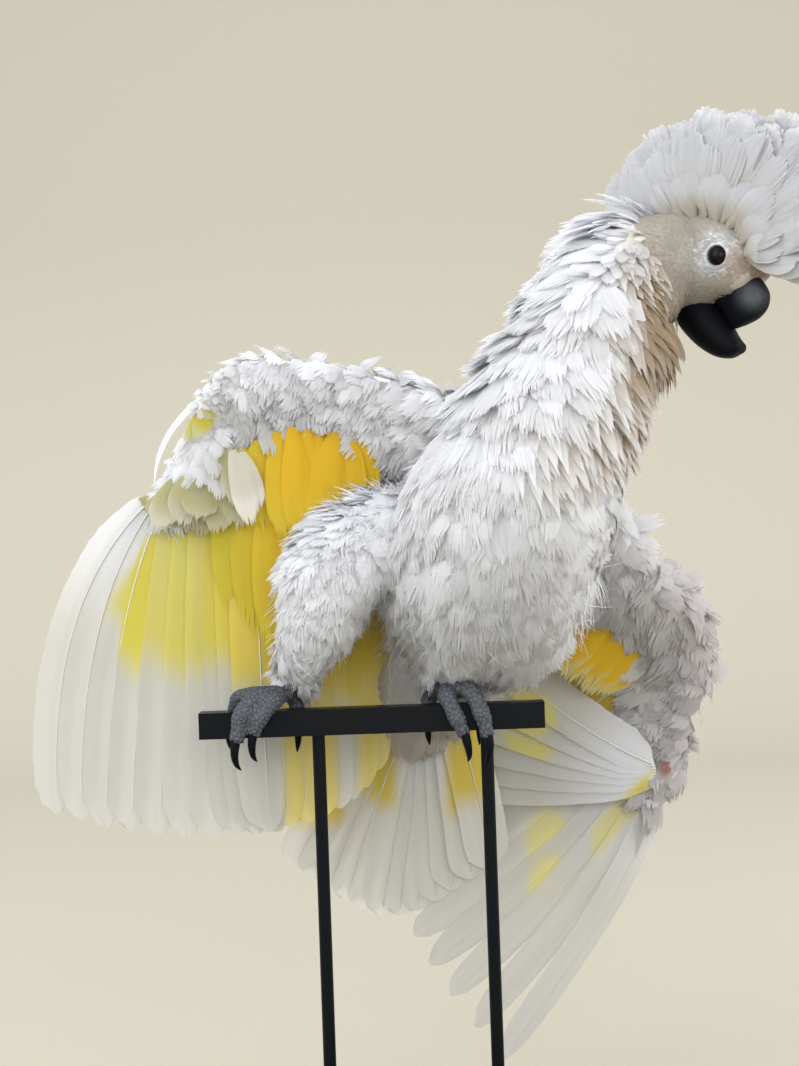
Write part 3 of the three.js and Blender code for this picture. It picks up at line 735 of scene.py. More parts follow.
# %% Dress the skin in its finish
skin_finish, nodes, links, shader = new_finish("bird_skin")
tint = add_node(nodes, "Attribute", attribute_name="plume")
pores = add_node(nodes, "TexNoise", {"Scale": 900, "Detail": 4})
mottle = add_node(nodes, "MapRange", {"To Min": 0.78, "To Max": 1.12})
mixed = add_node(nodes, "Mix", {"Factor": 1}, data_type="RGBA", blend_type="MULTIPLY")
bump = add_node(nodes, "Bump", {"Strength": 0.4, "Distance": 0.0003})
join(
    links,
    (pores.outputs[0], mottle.inputs["Value"]), (tint.outputs["Color"], mixed.inputs[6]),
    (mottle.outputs[0], mixed.inputs[7]), (mixed.outputs[2], shader.inputs["Base Color"]),
    (pores.outputs[0], bump.inputs["Height"]), (bump.outputs[0], shader.inputs["Normal"]),
)
set_inputs(shader, {"Roughness": 0.6, "Specular IOR Level": 0.35})
skin.data.materials.clear()
skin.data.materials.append(skin_finish)
for poly in skin.data.polygons:
    poly.use_smooth = True
seat(
    skin, "scaly_skin", "head", "neck", "trunk", "thigh_right", "thigh_left", "upper_arm_right",
    "forearm_right", "hand_right",
    "upper_arm_left", "forearm_left", "hand_left", "foot_right", "foot_left",
)
ground = BVHTree.FromPolygons([tuple(v) for v in p], [tuple(q.vertices) for q in skin.data.polygons])


def settle(points):
    """Nearest place on the skin and the way out of it, for each point."""
    near, out = np.empty_like(points), np.empty_like(points)
    for i, q in enumerate(points):
        hit, normal, _, _ = ground.find_nearest(q)
        near[i], out[i] = hit, normal
    return near, out


print("skin points:", len(p))

# %% [markdown]
# A feather is a sheet of points: rows along the shaft, columns across the vane. Its middle line walks
# over the skin in three strides, keeping a growing height above it, so every tip lies over the base of
# the next feather like a roof tile. Cupping, a little roll and ragged edges stop it looking stamped out.
# Soft feathers have a fringe: every second edge point is drawn in and the others forward, so that the
# edge becomes a row of loose barbs. The shading normals lean towards the way out of the body, since a
# deep soft coat shades like one rounded mass and not like separate sheets.

# %% The vane maker
PROFILES = {
    "round": ([0, 0.08, 0.3, 0.55, 0.78, 0.92, 1], [0.25, 0.5, 0.85, 1, 0.92, 0.64, 0.16]),
    "lance": ([0, 0.12, 0.38, 0.62, 0.84, 1], [0.3, 0.6, 0.95, 1, 0.6, 0.03]),
    "wisp": ([0, 0.3, 0.7, 1], [0.8, 1, 0.7, 0.1]),
    "quill": ([0, 0.05, 0.2, 0.5, 0.86, 0.94, 0.98, 1], [0.12, 0.55, 0.9, 1, 1, 0.9, 0.66, 0.3]),
    "plume": ([0, 0.1, 0.4, 0.7, 0.88, 0.96, 1], [0.2, 0.4, 0.78, 1, 0.97, 0.72, 0.3]),
}


def walk_lines(root, heading, long, rise, strides=3):
    """Middle lines through strides + 1 points, and the ways out of the skin there."""
    spots, outs = [root], [settle(root)[1]]
    step = (long / strides)[:, None]
    here = root
    way = heading
    for k in range(1, strides + 1):
        way = unit(way - (way * outs[-1]).sum(1)[:, None] * outs[-1])
        ahead = here + way * step
        near, out = settle(ahead)
        # the skin of another limb: keep to the feather's own plane
        strange = (out * outs[-1]).sum(1)[:, None] < 0.35
        near = np.where(strange, ahead, near)
        out = unit(0.5 * np.where(strange, outs[-1], out) + 0.5 * outs[-1])
        here = near
        spots.append(near + out * (rise * (k / strides) ** 0.85)[:, None])
        outs.append(out)
    return np.stack(spots, 1), np.stack(outs, 1)


def resample(lines, t):
    """Lines (n, k, 3) read at the fractions t, through all their points."""
    k = lines.shape[1]
    knots = np.linspace(0, 1, k)
    weights = np.ones((len(t), k))
    for i in range(k):
        for j in range(k):
            if i != j:
                weights[:, i] *= (t - knots[j]) / (knots[i] - knots[j])
    return np.einsum("tk,nkc->ntc", weights, lines)


def spread_vanes(
    lines, outs, wide, rows, columns, profile, cup=0.25, roll=None, rag=0.1, lopsided=0.0, rng=None,
    soften=0.6, tip_round=0.10, fringe=0.0,
):
    """Vanes round the middle lines: points, faces, and for each point its across, along and normal."""
    n = len(lines)
    t = np.linspace(0, 1, rows) ** 0.9
    middle = resample(lines, t)
    out = unit(resample(outs, t))
    run = unit(np.gradient(middle, axis=1))
    side = unit(np.cross(run, out))
    up = np.cross(side, run)
    if roll is not None:
        c, s = np.cos(roll)[:, None, None], np.sin(roll)[:, None, None]
        side, up = side * c + up * s, up * c - side * s
    x = np.linspace(-1, 1, columns)
    half = np.interp(t, *PROFILES[profile])[None, :] * (np.asarray(wide).reshape(-1, 1) / 2)
    width = half[..., None] * np.ones(columns)
    width = width * (1 + rag * rng.normal(size=(n, rows, columns)) * np.abs(x))
    notch = (np.arange(rows) % 2)[None, :, None] * (np.abs(x) > 0.9)
    width = width * (1 - fringe * notch * (0.7 + 0.6 * rng.random((n, rows, columns))))
    skew = 1 + lopsided * np.sign(x) * np.abs(x)
    place = (width * x * skew)[..., None]
    sag = (cup * half[..., None] * x**2)[..., None]
    points = middle[:, :, None] + side[:, :, None] * place - up[:, :, None] * sag
    slip = -tip_round * np.abs(x) ** 2 * ramp(t, 0.5, 1)[:, None]
    slip = slip + rag * 0.5 * rng.normal(size=(n, rows, columns)) * ramp(t, 0.7, 1)[:, None] * np.abs(x)
    slip = slip + fringe * 2.2 / rows * (1 - notch) * (np.abs(x) > 0.9) * ramp(t, 0.05, 0.2)[:, None]
    long = np.linalg.norm(lines[:, -1] - lines[:, 0], axis=1)[:, None, None]
    points = points + run[:, :, None] * (slip * long * 0.6)[..., None]
    faces = (grid_faces(rows, columns)[None] + (np.arange(n) * rows * columns)[:, None, None]).reshape(-1, 4)
    across = np.broadcast_to((x + 1) / 2, (n, rows, columns))
    along = np.broadcast_to(t[:, None], (n, rows, columns))
    own = unit(np.cross(np.gradient(points, axis=2), np.gradient(points, axis=1)))
    normals = unit(own * (1 - soften) + out[:, :, None] * soften)
    return points, faces, across, along, normals


# %% [markdown]
# The outer body feathers of a fluffed-up bird are loose: their barbs don't hook together. Such a
# feather is a brush of tapering strands that share one middle line, fan out along it and end at
# different lengths, so that its rim is soft.

# %% The loose feather maker
BRUSHES = {
    "round": ([0, 0.25, 0.6, 0.85, 1], [0.25, 0.7, 1.0, 1.0, 0.92]),
    "lance": ([0, 0.25, 0.55, 0.8, 1], [0.35, 0.85, 1.0, 0.7, 0.3]),
    "plume": ([0, 0.2, 0.5, 0.8, 1], [0.10, 0.38, 0.80, 1.0, 0.96]),
}


def spread_brush(
    lines, outs, wide, strands, rows, profile, roll, untidy, rng, soften=0.88, ragged=0.10, fill=2.0,
    tip=0.06,
):
    """Like spread_vanes, but each feather is a fan of `strands` strips, whose rows follow each other."""
    n = len(lines)
    x = np.linspace(-1, 1, strands)[None, :] + rng.normal(0, 0.5 / strands, (n, strands))
    reach = 1 - (0.34 if profile == "lance" else 0.19) * np.abs(x) ** 2 - ragged * rng.random((n, strands))
    t = np.linspace(0, 1, rows) ** 0.85
    fine = 13
    grid_t = np.linspace(0, 1, fine)
    middle = resample(lines, grid_t)
    out = unit(resample(outs, grid_t))
    run = unit(np.gradient(middle, axis=1))
    side = unit(np.cross(run, out))
    up = np.cross(side, run)
    c, s = np.cos(roll)[:, None, None], np.sin(roll)[:, None, None]
    side, up = side * c + up * s, up * c - side * s
    where = np.clip(reach[..., None] * t, 0, 1) * (fine - 1)
    k = np.clip(where.astype(int), 0, fine - 2)
    f = (where - k)[..., None]
    pick = np.arange(n)[:, None, None]

    def along_line(a):
        return a[pick, k] * (1 - f) + a[pick, k + 1] * f

    m, sd, u_, o_ = along_line(middle), along_line(side), along_line(up), along_line(out)
    half = np.asarray(wide).reshape(-1, 1, 1) / 2
    spread = x[..., None] * half * np.interp(t, *BRUSHES[profile])
    stray = untidy * rng.normal(size=(n, strands, 1)) * t**2 * half
    lift = untidy * np.abs(rng.normal(size=(n, strands, 1))) * t**2 * half * 0.9
    centre = m + sd * (spread + stray)[..., None] + u_ * (lift - 0.16 * half * x[..., None] ** 2)[..., None]
    strip = half * fill / strands * np.interp(
        t, [0, 0.3, 0.78, 0.93, 1], [0.8, 1.15, 1.08, 0.62 + 0.5 * tip, tip],
    )
    edge = sd * (strip * np.ones((n, strands, 1)))[..., None]
    points = np.stack([centre - edge, centre + edge], 3).reshape(n, strands * rows, 2, 3)
    leaning = unit(u_ * (1 - soften) + o_ * soften)[..., None, :]
    normals = np.repeat(leaning, 2, 3).reshape(n, strands * rows, 2, 3)
    one = (grid_faces(rows, 2)[None] + (np.arange(strands) * rows * 2)[:, None, None]).reshape(-1, 4)
    faces = (one[None] + (np.arange(n) * strands * rows * 2)[:, None, None]).reshape(-1, 4)
    edges = np.stack([x - 0.8 / strands, x + 0.8 / strands], -1)[:, :, None, :]
    across = edges * np.ones((1, 1, rows, 1)) / 2.6 + 0.5
    along = np.broadcast_to(t[None, None, :, None], (n, strands, rows, 2))
    return points, faces, across.reshape(n, strands * rows, 2), along.reshape(n, strands * rows, 2), normals


# %% One coat piece from a pack of feathers
def coat_piece(name, root, pack, colour, material, slot_name="white_plumage", sheet=None):
    """One joined mesh from a pack of vanes, with the vane map and the small patches of the skin's sheet."""
    points, faces, across, along, normals = pack
    vane = np.stack([across, along], -1).reshape(-1, 2)
    if sheet is None:
        patch = sheet_place(root)[:, None, None] + (np.stack([across, along], -1) - 0.5) * 0.003
    else:
        patch = sheet
    piece = build_piece(
        name, points.reshape(-1, 3), faces, material,
        uvs={"OFBake": patch.reshape(-1, 2), "Vane": vane}, colours=colour.reshape(-1, 3),
        normals=normals.reshape(-1, 3),
    )
    seat(piece, slot_name)
    piece_tris[name] = len(faces) * 2
    return piece


piece_tris = {}

# %% [markdown]
# The lie of the coat. A short list says which way feathers point at named places on the bird; between
# them the direction is a weighted mean. This bird is shaking itself, so the nape stands out backwards
# while the neck's long vanes fall across towards the throat.

# %% Flow of the feathers
LIE = [
    # nape and ruff
    ((88, 5, 470), (-0.8, 0.3, 0.35)), ((70, -10, 440), (-0.9, 0.2, 0.25)),
    ((52, -15, 412), (-0.9, 0.2, 0.1)),
    ((96, -48, 466), (-0.85, -0.1, 0.1)), ((72, -50, 446), (-0.85, -0.1, -0.1)),
    ((60, -52, 424), (-0.6, -0.1, -0.4)),
    ((84, -58, 440), (0.0, -0.1, -0.95)), ((76, -60, 424), (0.3, 0, -0.9)), ((66, -62, 404), (0.35, 0, -0.9)),
    ((98, -56, 434), (0.62, 0, -0.78)), ((92, -60, 414), (0.64, 0, -0.77)), ((84, -62, 398), (0.6, 0, -0.8)),
    ((108, -50, 420), (0.66, 0, -0.75)), ((106, -15, 420), (0.5, 0.2, -0.8)),
    ((74, -66, 382), (0.55, 0, -0.84)),
    ((96, -50, 392), (0.62, 0, -0.78)),
    # breast and shoulder
    ((40, -70, 380), (0.25, 0, -0.95)), ((14, -52, 372), (-0.3, 0, -0.9)),
    ((20, -20, 388), (-0.85, 0.1, 0.25)),
    ((70, -62, 350), (0.35, 0, -0.93)), ((78, -40, 330), (0.2, 0.2, -0.95)),
    ((40, -70, 330), (0.1, 0, -0.98)),
    ((0, -50, 330), (-0.35, 0, -0.93)), ((-25, -15, 300), (-0.5, 0.2, -0.85)),
    # belly, rump and thighs
    ((30, -40, 290), (0, 0, -1)), ((60, -20, 290), (0.2, 0.2, -0.95)), ((5, -30, 270), (-0.2, 0.1, -0.97)),
    ((5, 20, 240), (-0.2, 0.5, -0.85)), ((-10, 60, 215), (-0.3, 0.6, -0.7)),
    ((10, 60, 300), (-0.2, 0.6, -0.75)),
    ((30, 20, 350), (-0.5, 0.5, -0.65)), ((-60, -30, 300), (-0.2, 0, -0.97)),
    ((-75, -10, 275), (-0.15, 0, -0.98)),
    ((-70, 15, 285), (-0.2, 0.2, -0.95)), ((10, -20, 275), (0, 0, -1)),
]
lie_at = np.array([a for a, _ in LIE], float)
lie_way = unit(np.array([b for _, b in LIE], float))


def lie_of_coat(p):
    gap = np.linalg.norm(p[:, None] - lie_at[None], axis=2)
    weight = 1 / (gap + 4) ** 3.2
    way = (weight[..., None] * lie_way[None]).sum(1)
    f, u, r = head_places(p)
    on_head = ramp(np.sqrt(f**2 + u**2 + r**2), 40, 30)
    back = -FACE + 0.0 * p
    drop = -0.55 * ramp(-u, -4, 14)[:, None] * CROWN + 0.5 * ramp(u, 6, 18)[:, None] * CROWN
    return unit(blend(unit(way), unit(back + drop), on_head))


# %% Scattering roots evenly over the skin
corners = [tuple(q.vertices) for q in skin.data.polygons]
first_halves = [q[:3] for q in corners]
second_halves = [(q[0], q[2], q[3]) for q in corners if len(q) == 4]
tri = np.array(first_halves + second_halves)
corner = p[tri]
area_vector = np.cross(corner[:, 1] - corner[:, 0], corner[:, 2] - corner[:, 0]) / 2
area = np.linalg.norm(area_vector, axis=1)
tri_middle = corner.mean(1)
tri_limb, _, tri_turn = place_on_bird(tri_middle)
tri_out = unit(area_vector)
print(
    "skin area, cm2:", round(area.sum() / 100), "of which feet", round(area[on_foot(tri_middle)].sum() / 100),
)


def scatter(mask, gap, rng):
    """Even roots about `gap` apart on the masked triangles: many candidates, thinned to one per cell."""
    ids = np.nonzero(mask)[0]
    share = area[ids] / area[ids].sum()
    count = int(area[ids].sum() / gap**2 * 3)
    pick = rng.choice(ids, count, p=share)
    a, b = rng.random(count), rng.random(count)
    flip = a + b > 1
    a[flip], b[flip] = 1 - a[flip], 1 - b[flip]
    c = corner[pick]
    spots = c[:, 0] + a[:, None] * (c[:, 1] - c[:, 0]) + b[:, None] * (c[:, 2] - c[:, 0])
    cell = np.floor((spots + rng.random(3) * gap) / (gap * 0.92)).astype(int)
    _, first = np.unique(cell, axis=0, return_index=True)
    return spots[first], tri_out[pick][first]


# %% [markdown]
# Each region has a recipe: how far apart the feathers are, how long and wide, how high their tips
# stand, their outline and how untidy they are. Sizes are chosen to suit the species, smallest on the
# face.

# %% Coat regions
BARE_RING = 7.6  # radius of the naked skin round each eye
JAW_AT = in_head(2.0, -28.0)  # middle of the lower jaw, which feathers keep clear of


def on_limb(*names):
    return np.isin(tri_limb, [LIMB_NAMES.index(name) for name in names])


f, u, r = head_places(tri_middle)
near_head = (np.sqrt((f + 4) ** 2 + (u + 3) ** 2 + r**2) < 42) & (tri_middle[:, 2] > 400)
face_here = near_head & (f > face_edge(u)) & (u < 20)
ruff_here = near_head & ~face_here & ((f < face_edge(u) + 1) | (u >= 20)) & (f > -40)
head_here = face_here | ruff_here
body_here = on_limb("body")
neck_here = on_limb("neck", "head") & ~head_here
thigh_here = on_limb("thigh_right", "thigh_left")
bald = on_foot(tri_middle) | (eye_gap(tri_middle) < BARE_RING)
bald |= (f > 15) & (u < -2) & (np.abs(r) < 12)
by_bill = np.linalg.norm(tri_middle - JAW_AT, axis=1) < 23
ruff_here &= ~by_bill
neck_here &= ~by_bill
face_here = (face_here | by_bill) & ~bald
ruff_here &= ~bald
body_here &= ~bald & ~head_here
print("face cm2", round(area[face_here].sum() / 100, 1), "neck cm2", round(area[neck_here].sum() / 100))

throat_here = neck_here & (np.abs(tri_turn - 0.5) < 0.22)
nape_here = neck_here & (np.abs(tri_turn - 0.5) > 0.31)
breast_here = body_here & (tri_middle[:, 2] > 300)
belly_here = body_here & (tri_middle[:, 2] <= 300)
side_here = neck_here & ~throat_here & ~nape_here
# Each region but the face has an under layer of whole vanes that hides the skin and an outer layer of
# loose feathers. After the untidiness the under layer gives rows, columns and fringe, and the outer one
# strands, rows and how far single strands stray. The last number is how much the feathers open round
# the middle of each soft lump, which is what makes a fluffed-up bird look like clouds.
#        region       gap  long wide rise  shape  untidy
UNDER = [
    ("face", face_here, 1.2, 4.4, 2.4, 1.0, "round", 0.16, 4, 3, 0.0, 0.0),
    ("ruff_under", ruff_here, 4.0, 24, 11, 11.0, "round", 0.20, 7, 3, 0.15, 0.6),
    ("nape_under", nape_here & ~bald, 4.2, 24, 11, 9.0, "round", 0.20, 7, 3, 0.15, 0.4),
    ("neck_under", (side_here | throat_here) & ~bald, 3.4, 25, 9, 9.5, "round", 0.14, 7, 3, 0.15, 0.0),
    ("breast_under", breast_here, 3.6, 24, 13, 7.5, "round", 0.16, 7, 3, 0.15, 0.5),
    ("belly_under", belly_here, 3.4, 19, 11, 7.0, "round", 0.22, 7, 3, 0.2, 0.8),
    ("thighs_under", thigh_here & ~bald, 2.7, 12, 7, 5.0, "round", 0.20, 6, 3, 0.2, 0.8),
]
OUTER = [
    ("ruff", ruff_here, 4.4, 39, 17, 22.0, "round", 0.10, 15, 6, 0.06, 1.1),
    ("nape", nape_here & ~bald, 4.6, 31, 13, 14.0, "round", 0.09, 13, 6, 0.06, 0.8),
    ("neck", side_here & ~bald, 4.3, 40, 9.0, 14.0, "lance", 0.07, 8, 7, 0.04, 0.0),
    ("throat", throat_here & ~bald, 4.0, 32, 7.5, 15.5, "lance", 0.10, 8, 7, 0.04, 0.0),
    ("breast", breast_here, 4.4, 31, 13.0, 10.5, "round", 0.08, 13, 6, 0.05, 0.9),
    ("belly", belly_here, 3.9, 21, 12.0, 12.0, "round", 0.10, 15, 5, 0.07, 1.1),
    ("thighs", thigh_here & ~bald, 3.0, 15, 8.5, 8.5, "round", 0.10, 12, 5, 0.07, 1.1),
]
PUFF_WAVES = [
    ((0.11, 0.03, 0.13), 1.0), ((-0.14, 0.05, 0.09), 2.2), ((0.05, 0.12, -0.16), 0.3),
    ((0.19, -0.04, 0.05), 4.0),
]
coat_rng = np.random.default_rng(3)


def puffs(p):
    """Soft lumps of the fluffed coat, 0.55 .. 1.5, from a few slow waves in different directions."""
    return np.clip(1 + 0.2 * sum(np.sin(p @ k + c) for k, c in PUFF_WAVES), 0.55, 1.5)


PUFF = 13.0  # radius of one lump
puff_at, _ = scatter(area > 0, 20.0, np.random.default_rng(8))


def short_by_face(root):
    """How much shorter the feathers are next to the face and round the bill."""
    f, u, _ = head_places(root)
    bill = ramp(np.linalg.norm(root - JAW_AT, axis=1), 20, 42)
    return (0.36 + 0.64 * ramp(face_edge(u) - f, -1, 13)) * (0.22 + 0.78 * bill)


def open_puff(root, out, way, long, fluff):
    """Turn each feather away from the middle of its puff: the way, a height factor, the ball's centre."""
    j = np.linalg.norm(root[:, None] - puff_at[None], axis=2).argmin(1)
    rel = root - puff_at[j]
    rel = rel - (rel * out).sum(1)[:, None] * out
    d = np.clip(np.linalg.norm(rel, axis=1) / PUFF, 0, 1.2)
    turned = unit(way + 0.6 * fluff * rel / PUFF)
    centre = puff_at[j] + lie_of_coat(puff_at)[j] * np.asarray(long).reshape(-1, 1) * 0.5
    return turned, 1 + fluff * (0.38 - 0.8 * d**2), centre


def round_off(pack, centre, fluff):
    """Lean the shading normals of a pack the way each puff's ball would."""
    points, faces, across, along, normals = pack
    ball = (points - centre[:, None, None]) / PUFF
    ball = ball / np.maximum(np.linalg.norm(ball, axis=-1, keepdims=True), 1.0)
    return points, faces, across, along, unit(normals + 0.5 * fluff * ball)


def away_from_bill(root, way):
    """Turn feathers that point at the bill aside."""
    to_bill = JAW_AT - root
    gap = np.linalg.norm(to_bill, axis=1)[:, None]
    heading = np.clip((way * to_bill).sum(1)[:, None] / gap, 0, 1)
    return unit(way - 1.5 * heading * ramp(gap, 48, 34) * to_bill / gap)


def shade_throat_vanes(colour, root, along):
    """Painted shade: the throat's vanes are tan but for their tips, where they lie under their neighbours."""
    throat_side = ramp(np.abs(place_on_bird(root)[2] - 0.5), 0.36, 0.16) * ramp(root[:, 2], 338, 375)
    deep = (0.4 * ramp(along, 1.02, 0.82) + 0.6 * ramp(along, 0.9, 0.6)) * throat_side[:, None, None]
    return blend(colour, TAN * 1.15, deep)


def dress(name, mask, gap, long, wide, rise, shape, untidy, first, second, loose, fluff, outer):
    root, out = scatter(mask, gap, coat_rng)
    n = len(root)
    way = lie_of_coat(root)
    way = unit(way + untidy * coat_rng.normal(size=(n, 3)))
    size = np.clip(coat_rng.normal(1, 0.14, n), 0.65, 1.4)
    size = size * (0.6 + 0.4 * ramp(root[:, 2], 205, 265))
    way = away_from_bill(root, way)
    if name == "face":
        size = size * np.clip(coat_rng.normal(1, 0.2, n), 0.6, 1.6) * (0.4 + 0.6 * ramp(eye_gap(root), 9, 17))
    else:
        size = size * short_by_face(root)
        rise = rise * short_by_face(root) ** 0.8
    if any(word in name for word in ("breast", "throat", "belly", "neck")):
        rise = rise * (0.4 + 0.6 * ramp(-out[:, 1], -0.05, 0.5))  # close to the body at its flanks
    way, swell, centre = open_puff(root, out, way, long * size, fluff)
    rise = rise * swell * puffs(root) ** 0.5 * np.clip(coat_rng.normal(1, 0.05, n), 0.8, 1.15)
    lines, outs = walk_lines(root, way, long * size, rise)
    roll = coat_rng.normal(0, untidy * 0.3, n)
    if outer:
        fill, blunt = (1.8, 0.14) if shape == "lance" else (1.6, 0.25)
        pack = spread_brush(
            lines, outs, wide * size, first, second, shape, roll, loose * 0.7, coat_rng, 0.85, 0.10, fill,
            blunt,
        )
    else:
        pack = spread_vanes(
            lines, outs, wide * size, first, second, shape, 0.18, roll, 0.04, rng=coat_rng, soften=0.9,
            fringe=loose,
        )
    pack = round_off(pack, centre, fluff)
    # The face takes the painted face shade in full, every other region a quarter of it.
    base = plumage_colour(root, 1.0 if name == "face" else 0.25)
    base = base * np.clip(coat_rng.normal(0.985, 0.015, (n, 1)), 0.9, 1.03)
    if name == "face":
        base = base * (puffs(root * 2.1) ** 0.12 * np.clip(coat_rng.normal(1, 0.05, n), 0.85, 1.12))[:, None]
    colour = np.broadcast_to(base[:, None, None], pack[0].shape).copy()
    if "neck" in name or "throat" in name:
        # Painted shade between the throat's vanes.
        colour = shade_throat_vanes(colour, root, pack[3])
    if outer:
        streak = 0.07 * coat_rng.random((n, first, 1, 1, 1))
    else:
        streak = 0.04 * coat_rng.random((n, 1, 1, second, 1))
    colour = (colour.reshape(n, first, -1, pack[0].shape[2], 3) * (1 - streak)).reshape(colour.shape)
    return coat_piece("coat_" + name, root, pack, colour, soft_plume)


for recipe in UNDER:
    dress(*recipe, outer=False)
for recipe in OUTER:
    dress(*recipe, outer=True)
print(piece_tris)

# %% [markdown]
# Down. Between and beyond the contour feathers, loose fine wisps soften the outline of a fluffed-up
# bird. Each is a very narrow strip, curved and set at random round the lie of the coat.

# %% Wisps of down
def down(name, mask, gap, long, wide, rise, untidy):
    root, _ = scatter(mask, gap, coat_rng)
    n = len(root)
    way = unit(lie_of_coat(root) + untidy * coat_rng.normal(size=(n, 3)))
    size = np.clip(coat_rng.normal(1, 0.2, n), 0.5, 1.5)
    lines, outs = walk_lines(
        root, way, long * size, rise * size * np.clip(coat_rng.normal(1, 0.2, n), 0.5, 1.4),
    )
    pack = spread_vanes(
        lines, outs, np.full(n, wide), 5, 2, "wisp", 0, coat_rng.normal(0, 1.2, n), 0.05, rng=coat_rng,
    )
    colour = np.repeat(plumage_colour(root)[:, None], 10, 1)
    return coat_piece("down_" + name, root, pack, colour, down_plume)


down("belly", belly_here & ~bald, 2.5, 15, 0.35, 12.0, 0.4)
down("thighs", thigh_here & ~bald, 1.8, 10, 0.35, 9.0, 0.5)
print("coat so far:", sum(piece_tris.values()), "triangles")

# %% [markdown]
# Wings. The flight feathers spring from the arm and fan out. Every quill is its own vane along a
# bezier line from root through bend to tip. Neighbours overlap like slats: each is rolled a little and
# sits slightly nearer the viewer's side than the next one in, as seen from below on a real wing. The
# left wing hangs half folded, so its inmost quills lie as a second small fan across the others.

# %% Fans of flight feathers
FANS = {
    "primaries_right": dict(
        roots=[(-99, 16, 372), (-118, 20, 360), (-136, 26, 350), (-150, 29, 342)],
        bends=[(-99, 30, 270), (-124, 36, 272), (-164, 38, 278), (-212, 40, 292)],
        tips=[(-94, 34, 166), (-126, 36, 164), (-170, 42, 168), (-209, 46, 178)], count=10, wide=(27, 20),
    ),
    "secondaries_right": dict(
        roots=[(-24, 34, 352), (-50, 32, 356), (-76, 28, 362), (-97, 22, 366)],
        bends=[(-25, 62, 292), (-45, 52, 270), (-70, 40, 266), (-101, 31, 268)],
        tips=[(-22, 74, 232), (-43, 58, 190), (-66, 44, 173), (-97, 35, 166)], count=11, wide=(20, 25),
    ),
    "primaries_left": dict(
        roots=[(110, 78, 243), (115, 80, 222), (115, 83, 202), (112, 86, 180)],
        bends=[(58, 108, 196), (64, 106, 168), (84, 100, 148), (112, 93, 138)],
        tips=[(-26, 139, 163), (-34, 145, 118), (-16, 136, 70), (22, 117, 20)], count=10, wide=(24, 16),
    ),
    "secondaries_left": dict(
        roots=[(66, 50, 294), (80, 62, 276), (94, 72, 260), (106, 78, 246)],
        bends=[(48, 92, 262), (52, 98, 240), (56, 103, 220), (58, 108, 194)],
        tips=[(16, 108, 232), (2, 116, 210), (-14, 126, 188), (-28, 139, 160)], count=9, wide=(24, 24),
    ),
    "inner_left": dict(
        roots=[(107, 71, 190), (109, 73, 186), (110, 76, 182)],
        bends=[(73, 75, 204), (64, 84, 190), (66, 92, 170)],
        tips=[(20, 88, 252), (-8, 104, 214), (-20, 120, 178)], count=6, wide=(25, 25),
    ),
    "tail": dict(
        roots=[(-26, 64, 226), (-14, 66, 224), (0, 64, 226)],
        bends=[(-66, 94, 180), (-27, 99, 168), (14, 94, 178)],
        tips=[(-92, 122, 131), (-38, 138, 98), (20, 122, 127)], count=12, wide=(26, 26),
    ),
}


def bezier(root, bend, tip, t):
    a, b, c = ((1 - t) ** 2)[None, :, None], (2 * t * (1 - t))[None, :, None], (t**2)[None, :, None]
    return a * root[:, None] + b * bend[:, None] + c * tip[:, None]


def strip_sheet(across, along):
    """A sheet with one upright strip for each big feather, for the colour map."""
    n = len(across)
    u = (np.arange(n)[:, None, None] + 0.08 + 0.84 * across) / n
    return np.stack([u, 0.03 + 0.94 * along], -1)


STRIPES = ((-76, 14, 160), (-41, 9, 170), (9, 12, 162))  # middle, half width and lower end of each


def stripes(points, jitter):
    """Hanging yellow stripes of the tail and of the inmost right wing quills."""
    x, z = points[..., 0], points[..., 2]
    bands = []
    for at, half, low in STRIPES:
        bands.append(ramp(np.abs(x - at), half + 4, half - 3) * ramp(z, low - 9 + jitter, low + 9 + jitter))
    return np.max(bands, axis=0)


def left_wing_spots(points, jitter):
    x, z = points[..., 0], points[..., 2]
    high = ramp(np.hypot((x - 43) / 15, (z - 212 + jitter) / 17), 1.2, 0.7)
    spot = ramp(np.hypot((x - 53) / 13, (z - 146 + jitter) / 19), 1.2, 0.7)
    strip = ramp(np.abs((z - 160) - 1.15 * (x - 91)) / 9, 1.3, 0.7) * ramp(np.abs(x - 91) / 15, 1.2, 0.8)
    return np.clip(0.8 * high + spot + strip, 0, 1)


QUILL_GREY = np.array([0.60, 0.59, 0.545])
fan_rng = np.random.default_rng(21)
FACING = np.array([0.0, -1.0, 0.15])


def fan_quills(name, layer_step=0.55, lean=0.14):
    fan = FANS[name]
    n = fan["count"]
    lines = bezier(*[smooth_line(fan[k], n) for k in ("roots", "bends", "tips")], np.linspace(0, 1, 7))
    outs = np.broadcast_to(unit(FACING), lines.shape).copy()
    lines = lines + unit(FACING) * ((np.arange(n) - n / 2) * layer_step)[:, None, None]
    wide = np.linspace(*fan["wide"], n)
    return lines, outs, wide, np.full(n, lean) + fan_rng.normal(0, 0.03, n)


